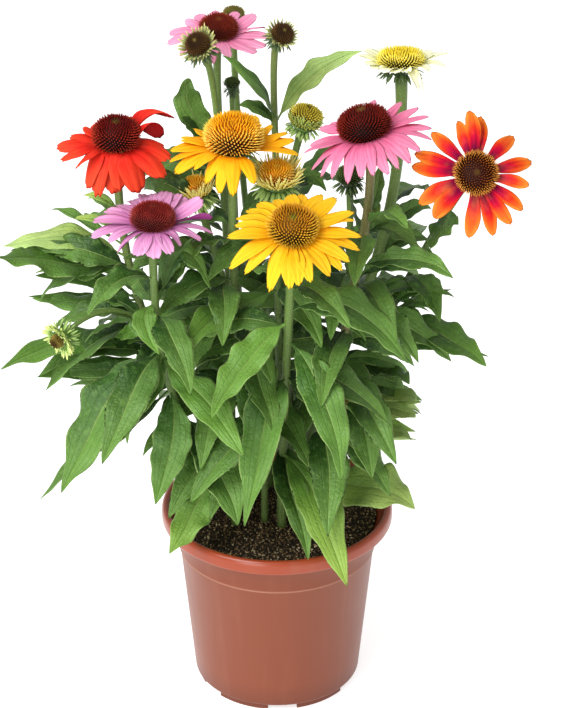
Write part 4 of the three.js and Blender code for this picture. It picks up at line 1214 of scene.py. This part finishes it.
def petal_sheet(row, foot, shape, seed):
    """The middle surface of a petal and its thickness, on a head that faces up from the origin."""
    azimuth, reach, height, width, twist, sweep, hump = row + (0, 0, None)[len(row) - 4:]
    rounding, teeth, narrowing, cup, foot_breadth, widest = shape
    steps, columns = PETAL_GRID
    draw = np.random.default_rng(seed).uniform
    across = np.linspace(-1, 1, columns + 1)[None, :]
    even = np.linspace(0, 1, steps + 1)[:, None]
    edge = np.abs(across)
    tooth = (0.5 - 0.5 * np.cos(3 * math.pi * across)) * teeth * draw(0.5, 1.6)
    cut = rounding * (1 - np.sqrt(1 - 0.96 * across**2)) + tooth + draw(-0.04, 0.04) * across
    share = even * (1 - cut * even**3)
    if hump is None:
        hump = max(PETAL_SINK, 0.25 * height) + 4 + draw(-1, 1.5)
    shoulder = (foot + 0.5 * (reach - foot), hump)
    rest = 1 - share
    radial = rest**2 * foot + 2 * share * rest * shoulder[0] + share**2 * reach
    rise = rest**2 * PETAL_SINK + 2 * share * rest * shoulder[1] + share**2 * height
    radial_slope = 2 * rest * (shoulder[0] - foot) + 2 * share * (reach - shoulder[0])
    rise_slope = 2 * rest * (shoulder[1] - PETAL_SINK) + 2 * share * (height - shoulder[1])
    slope = np.hypot(radial_slope, rise_slope)
    zero = np.zeros_like(share)
    normal = np.stack([-rise_slope / slope, zero, radial_slope / slope], -1)
    side = np.stack([zero, zero - 1, zero], -1)
    turn = np.radians((twist + draw(-9, 9)) * smooth_step(share) + draw(-6, 6))[..., None]
    cosine, sine = np.cos(turn), np.sin(turn)
    side, normal = side * cosine + normal * sine, normal * cosine - side * sine
    breadth = foot_breadth + (1 - foot_breadth) * smooth_step(share / widest)
    breadth = breadth * (1 - narrowing * smooth_step((share - widest) / (1 - widest)))
    half = width / 2 * breadth
    groove = 0.035 * width * np.exp(-(((edge - 0.36) / 0.11) ** 2)) * smooth_step(share * 4)
    ripple = 0.03 * width * np.sin(share * draw(6, 13) + np.sign(across) * draw(0, 3)) * edge**2 * share
    lift = (cup + draw(-0.12, 0.12)) * half * across**2 - groove + ripple
    sway = draw(-1.6, 1.6) * np.sin(math.pi * share) + sweep * share**3
    points = np.stack([radial, zero + sway, rise], -1) + side * (half * across)[..., None]
    points = points + normal * lift[..., None]
    angle = math.radians(azimuth)
    x = points[..., 0] * math.cos(angle) - points[..., 1] * math.sin(angle)
    y = points[..., 0] * math.sin(angle) + points[..., 1] * math.cos(angle)
    return np.stack([x, y, points[..., 2]], -1), PETAL_THICKNESS * np.sqrt(1 - edge**2) + zero


def combine(tree, *values):
    """A vector from its x, y and z. A value that isn't given is 0."""
    return node(tree, "ShaderNodeCombineXYZ", dict(enumerate(values))).outputs[0]


def petal_material(name, stops, streak, under_colour):
    """Colours along the petal, with fine lengthwise streaks, painted shade in its two grooves and pale
    patches.
    """
    settings = {"Roughness": 0.6, "Specular_IOR_Level": 0.1}
    material, tree, shader = new_material(f"petal {name}", **settings)
    place = object_place(tree)
    across, along, _, edge = blade_place(tree)
    rim_shift = FLAME_RIM if name == "flame" else PETAL_RIM
    rim = maths(tree, "MULTIPLY", maths(tree, "MULTIPLY", edge, edge), rim_shift)
    blade = ramp(tree, maths(tree, "ADD", along, rim), stops)
    shift = maths(tree, "MULTIPLY", attribute(tree, "tone"), 90.0)
    sideways = maths(tree, "MULTIPLY_ADD", across, 15.0, shift)
    lines = noise(tree, 1.0, combine(tree, sideways, maths(tree, "MULTIPLY", along, 1.3)), 3, 0.6)
    lined = mix(tree, grey_ramp(tree, lines, [(0.44, 0), (0.68, 0.6)]), blade, linear(streak))
    # painted shade: the two grooves darken towards the streak colour
    groove = grey_ramp(tree, edge, [(0.28, 0), (0.35, 0.35), (0.42, 0)])
    with_painted_groove_shade = mix(tree, groove, lined, linear(streak))
    pale = grey_ramp(tree, noise(tree, 70, place, 2), [(0.45, 0), (0.8, 0.3)])
    upper = mix(tree, pale, with_painted_groove_shade, linear([min(255, value + 14) for value in stops[-1][1]]))
    faint = grey_ramp(tree, lines, [(0.4, 0), (0.7, 0.5)])
    lower = mix(tree, faint, linear(under_colour), linear(streak))
    feed(tree, shader, "Base Color", mix(tree, attribute(tree, "under"), upper, lower))
    bump(tree, shader, lines, 0.25, 0.0005)
    return material


for number, (name, rows) in enumerate(PETALS.items()):
    foot = PETAL_FOOT * CONES[name][0]
    frame_turn = np.array(head_matrix(name))
    shells = []
    for i, row in enumerate(rows):
        seed = PETAL_SEED + HEAD_SEEDS * number + i
        sheet, thickness = petal_sheet(row, foot, PETAL_SHAPES[name], seed)
        shells.append(shell(sheet @ frame_turn[:3, :3].T + frame_turn[:3, 3], thickness))
    draw = np.random.default_rng(SHADE_SEED + number).uniform
    finish = petal_material(name, PETAL_COLOURS[name], *STREAK_COLOURS[name])
    ring = add_shells(f"petals_{name}", shells, [draw(0, 1) for _ in rows], finish)
    finish_piece(ring, f"petals_{name}", f"rays_{name}")

# ---- Cones -------------------------------------------------------------------------------------
# The middle of a head is a dome packed with stiff pointed scales in crossing spirals. Each scale
# ends in a bright tip; those in the middle are young and short.

GOLDEN_ANGLE = math.radians(137.508)
LOWEST_COSINE = -0.42  # the scales go on a little below the widest part of the dome


def spiral(tree, index, radius):
    """The x and y of a place on a spiral of golden angles, at a radius from its axis."""
    turn = maths(tree, "MULTIPLY", index, GOLDEN_ANGLE)
    x = maths(tree, "MULTIPLY", radius, maths(tree, "COSINE", turn))
    return x, maths(tree, "MULTIPLY", radius, maths(tree, "SINE", turn))


def cloud_of_points(tree, given, place):
    return node(tree, "GeometryNodePoints", {"Count": given["Count"], "Position": place}).outputs[0]


def move_points(tree, shape, place):
    return node(tree, "GeometryNodeSetPosition", {"Geometry": shape, "Position": place}).outputs[0]


def spine_tree():
    """Scales on a dome, from its top down, over a smooth core. Each is a pointed cone that swells in
    its outer half; those at the crown are thinner and shorter, and those at the foot thinner."""
    inputs = {"Count": int, "Radius": float, "Height": float, "Middle": float, "Lowest cosine": float,
              "Length": float, "Thickness": float, "Upward": float, "Crown": float,
              "Material": "material"}
    tree, given, output = new_recipe("spines", inputs)
    index = node(tree, "GeometryNodeInputIndex").outputs[0]
    share = maths(tree, "DIVIDE", maths(tree, "ADD", index, 0.5), given["Count"])
    span = maths(tree, "SUBTRACT", 1.0, given["Lowest cosine"])
    cosine = maths(tree, "SUBTRACT", 1.0, maths(tree, "MULTIPLY", share, span))
    sine = maths(tree, "SQRT", maths(tree, "SUBTRACT", 1.0, maths(tree, "MULTIPLY", cosine, cosine)))
    x, y = spiral(tree, index, sine)
    place = combine(
        tree, maths(tree, "MULTIPLY", x, given["Radius"]), maths(tree, "MULTIPLY", y, given["Radius"]),
        maths(tree, "MULTIPLY_ADD", cosine, given["Height"], given["Middle"]),
    )
    points = keep(tree, cloud_of_points(tree, given, place), "ring", share)
    outward = combine(
        tree, maths(tree, "MULTIPLY", x, given["Height"]), maths(tree, "MULTIPLY", y, given["Height"]),
        maths(tree, "MULTIPLY", cosine, given["Radius"]),
    )
    outward = node(tree, "ShaderNodeVectorMath", {0: outward}, operation="NORMALIZE").outputs[0]
    way = add_vectors(tree, outward, combine(tree, 0, 0, given["Upward"]))
    way = add_vectors(tree, way, random_vector(tree, (-0.09, -0.09, -0.09), (0.09, 0.09, 0.09), 21))

    along = maths(tree, "DIVIDE", split(tree, here(tree))[2], given["Length"])
    spine = keep(tree, taper(tree, given, 5, 3), "tip", along)
    stout = maths(tree, "MULTIPLY_ADD", along, 1.3, 1.0)
    full = combine(tree, stout, stout, 1.0)
    swollen = node(tree, "ShaderNodeVectorMath", {0: here(tree), 1: full}, operation="MULTIPLY").outputs[0]
    spine = move_points(tree, spine, swollen)
    young = map_range(tree, share, 0.6, 1.0, 0.0, 0.3)
    apart = map_range(tree, share, 1.0, 0.62, 0.4, 0.8)
    girth = maths(tree, "MULTIPLY", young, apart)
    grown = map_range(tree, share, given["Crown"], 1.0, 0.0, 0.3)
    reach = maths(tree, "MULTIPLY", grown, random_value(tree, 0.85, 1.12, 22))
    spines = copies(tree, points, spine, point_along(tree, way), combine(tree, girth, girth, reach))

    ball = {"Segments": 32, "Rings": 20, "Radius": 1.0}
    core = node(tree, "GeometryNodeMeshUVSphere", ball).outputs[0]
    level = split(tree, here(tree))[2]
    core = keep(tree, core, "ring", maths(tree, "DIVIDE", maths(tree, "SUBTRACT", 1.0, level), span))
    size = combine(tree, given["Radius"], given["Radius"], given["Height"])
    placed = {"Geometry": core, "Translation": combine(tree, 0, 0, given["Middle"]), "Scale": size}
    core = keep(tree, node(tree, "GeometryNodeTransform", placed).outputs[0], "tip", 0.0)
    finish_tree(tree, output, join(tree, core, spines), given["Material"])
    return tree


def spine_material(name, foot, middle, tip, crown, heart):
    """Colours along a scale from foot to tip, of the tips round the crown, and of the very top."""
    settings = {"Roughness": 0.6, "Specular_IOR_Level": 0.15}
    material, tree, shader = new_material(f"cone scales {name}", **settings)
    along, ring = attribute(tree, "tip"), attribute(tree, "ring")
    place = object_place(tree)
    scale = ramp(tree, along, [(0.05, foot), (0.35, middle), (0.75, tip)])
    shade = [int(0.7 * high + 0.3 * low) for high, low in zip(middle, foot)]
    young = ramp(tree, along, [(0.0, shade), (0.15, middle), (0.5, crown)])
    bright = mix(tree, grey_ramp(tree, ring, [(0.2, 1), (0.5, 0)]), scale, young)
    core = mix(tree, grey_ramp(tree, ring, [(0.003, 1), (0.02, 0)]), bright, linear(heart))
    cloud = grey_ramp(tree, noise(tree, 160, place, 2), [(0.3, 0.72), (0.7, 1.15)])
    feed(tree, shader, "Base Color", mix(tree, 1.0, core, cloud, "MULTIPLY"))
    bump(tree, shader, noise(tree, 1500, place, 2), 0.2, 0.0003)
    return material


# a recipe's inputs that aren't lengths
NOT_LENGTHS = ("Count", "Seed", "Lowest cosine", "Upward", "Crown", "Low tilt", "High tilt")


def grow(name, stem, base, recipe, values, material):
    """What a recipe makes on a base mesh in a head's own frame, moved on to its stalk. Lengths are in
    millimetres."""
    piece = add_mesh(name, *base)
    sizes = {key: value if key in NOT_LENGTHS else value * MM for key, value in values.items()}
    apply_recipe(piece, recipe, sizes | {"Material": material})
    move = head_matrix(stem)
    piece.data.transform(Matrix.Translation(move.translation * MM) @ move.to_3x3().to_4x4())
    return piece


def add_spines(name, size, look, colours):
    """A dome of scales. Its size is a radius and a height, over the tips."""
    radius, height = size
    count, length, thickness, upward, crown, middle = look
    return grow(f"scales_{name}", name, ([], []), spines, {
        "Count": count, "Radius": radius - 0.8 * length, "Middle": middle * height,
        "Height": height * (1 - middle) - 0.75 * length, "Lowest cosine": LOWEST_COSINE,
        "Length": length, "Thickness": thickness, "Upward": upward, "Crown": crown,
    }, spine_material(name, *colours))


spines = spine_tree()
# [number of scales, their length, thickness, lean towards the top, length at the crown, height of
# the dome's middle as a share of the cone's]
CONE_LOOKS = {
    "red": (520, 5.0, 0.68, 0.35, 0.55, 0.3), "orange": (560, 6.4, 0.84, 0.5, 0.6, 0.3),
    "pink": (640, 4.8, 0.64, 0.35, 0.6, 0.3), "flame": (400, 5.0, 0.6, 0.3, 0.7, 0.3),
    "lilac": (700, 3.9, 0.52, 0.35, 0.6, 0.3), "yellow": (470, 5.8, 0.76, 0.45, 0.6, 0.3),
    "rose": (480, 4.3, 0.55, 0.35, 0.6, 0.3), "cream": (400, 5.2, 0.72, 0.5, 0.6, 0.3),
}
# Colours of the foot, middle and tip of a scale, of the tips at the crown, and of the very top.
CONE_COLOURS = {
    "red": ((24, 4, 3), (96, 16, 10), (186, 54, 32), (116, 16, 10), (92, 74, 30)),
    "orange": ((44, 22, 6), (240, 146, 12), (255, 226, 96), (255, 186, 24), (255, 180, 20)),
    "pink": ((20, 3, 2), (76, 14, 7), (140, 40, 24), (120, 26, 14), (140, 100, 50)),
    "flame": ((24, 5, 2), (64, 20, 6), (244, 166, 66), (150, 76, 22), (90, 60, 20)),
    "lilac": ((56, 10, 10), (118, 32, 28), (166, 72, 62), (150, 40, 34), (140, 52, 38)),
    "yellow": ((44, 34, 6), (160, 108, 18), (244, 194, 56), (214, 146, 30), (130, 124, 36)),
    "rose": ((44, 10, 6), (104, 32, 18), (150, 60, 36), (140, 44, 26), (150, 80, 40)),
    "cream": ((40, 40, 8), (236, 204, 40), (255, 250, 130), (255, 232, 66), (255, 226, 60)),
}
CONE_SLOTS = {
    "orange": "cone_amber", "flame": "cone_olive", "yellow": "cone_olive", "cream": "cone_lime",
}

for name, size in CONES.items():
    cone = add_spines(name, size, CONE_LOOKS[name], CONE_COLOURS[name])
    finish_piece(cone, CONE_SLOTS.get(name, "cone_dark"), f"cone_{name}")

# ---- Calyxes and buds --------------------------------------------------------------------------
# Under each head the stalk widens into a green cup with rows of narrow pointed bracts that bend
# outwards and down. A bud has the same cup, and its young petals stand round it as short pale stubs.

CALYX_DEPTH = 11
CALYX_FOOT = 0.95  # of the stalk's radius
CALYX_BRACTS = 42
CUP_SEGMENTS = 24


def bract_tree():
    """Flat pointed bracts in a spiral that widens, rises and turns its tilt. Each is a flattened ball
    that narrows and curls to its tip."""
    inputs = {"Count": int, "Low radius": float, "High radius": float, "Low height": float,
              "High height": float, "Low tilt": float, "High tilt": float, "Length": float,
              "Width": float, "Bend": float, "Seed": int, "Material": "material"}
    tree, given, output = new_recipe("bracts", inputs, takes_mesh=True)
    index = node(tree, "GeometryNodeInputIndex").outputs[0]
    share = maths(tree, "DIVIDE", index, given["Count"])

    def between(what):
        return map_range(tree, share, given[f"Low {what}"], given[f"High {what}"])

    place = combine(tree, *spiral(tree, index, between("radius")), between("height"))
    stray = random_value(tree, -0.22, 0.22, given["Seed"])
    tilt = maths(tree, "SUBTRACT", stray, between("tilt"))
    roll = random_value(tree, -0.5, 0.5, 31)
    turned = turn_by(tree, combine(tree, roll, tilt, maths(tree, "MULTIPLY", index, GOLDEN_ANGLE)))

    ball = {"Segments": 6, "Rings": 8, "Radius": 0.5}
    ball = node(tree, "GeometryNodeMeshUVSphere", ball).outputs[0]
    x, y, z = split(tree, here(tree))
    along = maths(tree, "ADD", z, 0.5)
    fine = maths(tree, "SUBTRACT", 1.25, maths(tree, "MULTIPLY", along, 0.75))
    wide = maths(tree, "MULTIPLY", maths(tree, "MULTIPLY", x, given["Width"]), fine)
    thick = maths(tree, "MULTIPLY", maths(tree, "MULTIPLY", y, given["Width"]), 0.35)
    curl = maths(tree, "MULTIPLY", maths(tree, "MULTIPLY", along, along), given["Bend"])
    long = maths(tree, "MULTIPLY", along, given["Length"])
    shaped = combine(tree, long, wide, maths(tree, "ADD", thick, curl))
    bract = move_points(tree, keep(tree, ball, "tip", along), shaped)
    points = cloud_of_points(tree, given, place)
    bracts = copies(tree, points, bract, turned, random_value(tree, 0.75, 1.2, 32))
    finish_tree(tree, output, join(tree, given["Geometry"], bracts), given["Material"])
    return tree


def bract_material(name, foot, tip):
    material, tree, shader = new_material(f"bracts {name}", Roughness=0.55)
    place = object_place(tree)
    blade = ramp(tree, attribute(tree, "tip"), [(0.0, foot), (0.9, tip)])
    cloud = grey_ramp(tree, noise(tree, 420, place, 3), [(0.3, 0.75), (0.7, 1.2)])
    feed(tree, shader, "Base Color", mix(tree, 1.0, blade, cloud, "MULTIPLY"))
    bump(tree, shader, noise(tree, 900, place, 2), 0.3, 0.0004)
    return material


def cup_shape(name, top_radius, top_height):
    """The widened end of a stalk, from the stalk up to a head's own plane."""
    foot = STEMS[name][7] * CALYX_FOOT
    profile = [(0, -CALYX_DEPTH)]
    for share in np.linspace(0, 1, 7):
        radius = foot + (top_radius - foot) * share**1.6
        profile.append((float(radius), float(-CALYX_DEPTH + (CALYX_DEPTH + top_height) * share)))
    return lathe(profile + [(0, top_height)], CUP_SEGMENTS)


bracts = bract_tree()
calyx_finish = bract_material("calyx green", (84, 118, 52), (134, 158, 78))
pale_calyx_finish = bract_material("calyx pale green", (104, 140, 60), (172, 200, 112))
dark_calyx_finish = bract_material("calyx dark green", (48, 72, 34), (84, 110, 54))
for seed, (name, (radius, height)) in enumerate(CONES.items()):
    calyx = grow(f"calyx_{name}", name, cup_shape(name, 0.66 * radius, -1.4), bracts, {
        "Count": CALYX_BRACTS, "Low radius": 0.42 * radius, "High radius": 0.62 * radius,
        "Low height": -6.5, "High height": -2.5, "Low tilt": -0.9, "High tilt": -0.35,
        "Length": 8.5, "Width": 2.6, "Bend": -1.6, "Seed": seed,
    }, dark_calyx_finish if name == "cream" else calyx_finish)
    finish_piece(calyx, "stems", f"stem_{name}")

# [radius, height, length of its bracts]
BUDS = {
    "bud_brown": (13, 14, 8), "bud_tall": (11, 12, 7), "bud_back": (10, 12, 6),
    "bud_lime": (15.5, 18, 6), "bud_amber": (15, 17, 9.5), "bud_opening": (18, 19, 11),
    "bud_nodding": (12, 11, 7.5), "bud_shaded": (12, 12, 7.5), "bud_small": (7, 8, 4.5),
    "bud_inner": (8, 8, 5),
}
# Colours of the foot, middle and tip of a scale, of the tips at the crown, and of the very top.
DARK_BUD = ((28, 18, 8), (64, 42, 20), (110, 80, 40), (74, 50, 26), (130, 112, 54))
OLIVE_BUD = ((60, 62, 24), (104, 100, 42), (160, 146, 74), (130, 118, 56), (110, 100, 50))
LIME_BUD = ((50, 48, 14), (160, 136, 34), (240, 226, 96), (190, 172, 52), (96, 90, 30))
AMBER_BUD = ((190, 104, 14), (255, 184, 26), (255, 234, 130), (255, 200, 50), (244, 206, 70))
GREEN_BUD = ((28, 44, 20), (52, 76, 34), (96, 116, 62), (84, 104, 50), (84, 104, 50))
SHAGGY_BUD = ((54, 50, 16), (84, 68, 24), (150, 130, 60), (74, 56, 20), (66, 46, 16))
BUD_COLOURS = {
    "bud_brown": DARK_BUD, "bud_tall": DARK_BUD, "bud_back": OLIVE_BUD, "bud_lime": LIME_BUD,
    "bud_amber": AMBER_BUD, "bud_opening": AMBER_BUD, "bud_nodding": SHAGGY_BUD,
    "bud_shaded": GREEN_BUD, "bud_small": GREEN_BUD, "bud_inner": OLIVE_BUD,
}
# how much of a bud's radius its dome takes, where the stubs stand clear of it
DOME_SHARES = {
    "bud_brown": 0.78, "bud_tall": 0.84, "bud_nodding": 0.46, "bud_opening": 0.86,
    "bud_amber": 0.9, "bud_lime": 0.9,
}
FULL_DOME = 0.94
# Colours of the foot and tip of the stubs that stand round a bud, and [number, length, width, tilt]
PALE_GREEN = ((104, 116, 52), (206, 208, 132))
LIME_GREEN = ((78, 112, 46), (180, 194, 98))
BRIGHT_GREEN = ((140, 180, 80), (224, 234, 142))
MID_GREEN = ((84, 110, 46), (150, 164, 84))
DARK_GREEN = ((44, 66, 30), (104, 126, 66))
PALE_YELLOW = ((230, 206, 64), (255, 246, 156))
BUD_STUBS = {
    "bud_brown": (PALE_GREEN, 60, 7.5, 2.2, 0.65), "bud_tall": (PALE_GREEN, 50, 6.5, 1.9, 0.65),
    "bud_back": (PALE_GREEN, 26, 4.5, 1.4, 1.0), "bud_lime": (LIME_GREEN, 150, 6.5, 1.7, 1.1),
    "bud_amber": (PALE_YELLOW, 110, 10, 1.6, 1.0), "bud_opening": (PALE_YELLOW, 150, 13, 1.7, 0.95),
    "bud_nodding": (BRIGHT_GREEN, 90, 7, 2.8, 0.35), "bud_shaded": (DARK_GREEN, 40, 4, 1.5, 0.5),
    "bud_small": (DARK_GREEN, 26, 3, 1.1, 0.6), "bud_inner": (MID_GREEN, 30, 3.5, 1.2, 0.6),
}
STUB_SEED = 40
CUP_SEED = 60
for seed, (name, (radius, height, bract_length)) in enumerate(BUDS.items()):
    # what CONE_LOOKS says of a head, worked out from the bud's radius
    look = (int(80 + 14 * radius), 0.26 * radius, 0.78 if radius > 10 else 0.6, 0.4, 0.6, 0.32)
    size = (radius * DOME_SHARES.get(name, FULL_DOME), height)
    finish_piece(add_spines(name, size, look, BUD_COLOURS[name]), "buds", name)
    colours, count, length, width, tilt = BUD_STUBS[name]
    stubs = grow(f"stubs_{name}", name, ([], []), bracts, {
        "Count": count, "Low radius": 0.62 * radius, "High radius": 0.8 * radius, "Low height": -0.5,
        "High height": 0.34 * height, "Low tilt": tilt - 0.3, "High tilt": tilt, "Length": length,
        "Width": width, "Bend": 0.8, "Seed": STUB_SEED + seed,
    }, bract_material(f"stubs {name}", *colours))
    finish_piece(stubs, "buds", name)
    green = dark_calyx_finish if BUD_COLOURS[name] in (DARK_BUD, GREEN_BUD) else pale_calyx_finish
    calyx = grow(f"calyx_{name}", name, cup_shape(name, 0.68 * radius, -0.6), bracts, {
        "Count": int(16 + 2.6 * radius), "Low radius": 0.36 * radius, "High radius": 0.66 * radius,
        "Low height": -6.5, "High height": -1.2, "Low tilt": -1.0, "High tilt": -0.2,
        "Length": bract_length, "Width": 0.17 * radius, "Bend": -0.22 * bract_length,
        "Seed": CUP_SEED + seed,
    }, green)
    finish_piece(calyx, "buds", name)

# ---- Floor and light ---------------------------------------------------------------------------
# A plain white floor under soft studio light: a bright room, a broad lamp from the upper left and
# a weaker one low in front.

FLOOR_REACH = 6000
FLOOR_WHITE = 0.75
FLOOR_GLOW = 0.66
ROOM_LIGHT = 0.62
WHITE = (1, 1, 1, 1)
# [place, aim, size, power], in metres and watts
LAMPS = {
    "key": ((-2.2, -2.3, 3.8), (0, 0, 0.3), 2.6, 175),
    "fill": ((-1.4, -3.2, 1.0), (0, 0, 0.35), 1.6, 42),
}

floor_corners = [(x * FLOOR_REACH, y * FLOOR_REACH, 0) for x, y in ((-1, -1), (1, -1), (1, 1), (-1, 1))]
floor_finish, _, floor_shader = new_material("white floor", Roughness=0.9, Emission_Strength=FLOOR_GLOW)
floor_shader.inputs["Base Color"].default_value = (FLOOR_WHITE, FLOOR_WHITE, FLOOR_WHITE, 1)
floor_shader.inputs["Emission Color"].default_value = WHITE
floor = add_mesh("floor", floor_corners, [(0, 1, 2, 3)], floor_finish)

world = bpy.data.worlds.new("studio")
world.use_nodes = True
background = world.node_tree.nodes["Background"]
background.inputs[0].default_value = WHITE
background.inputs[1].default_value = ROOM_LIGHT
bpy.context.scene.world = world

for name, (place, aim, size, power) in LAMPS.items():
    lamp = bpy.data.lights.new(name, "AREA")
    lamp.size = size
    lamp.energy = power
    shown = bpy.data.objects.new(name, lamp)
    shown.location = place
    shown.rotation_euler = (Vector(aim) - Vector(place)).to_track_quat("-Z", "Y").to_euler()
    bpy.context.scene.collection.objects.link(shown)
bpy.context.scene.view_settings.view_transform = "Standard"
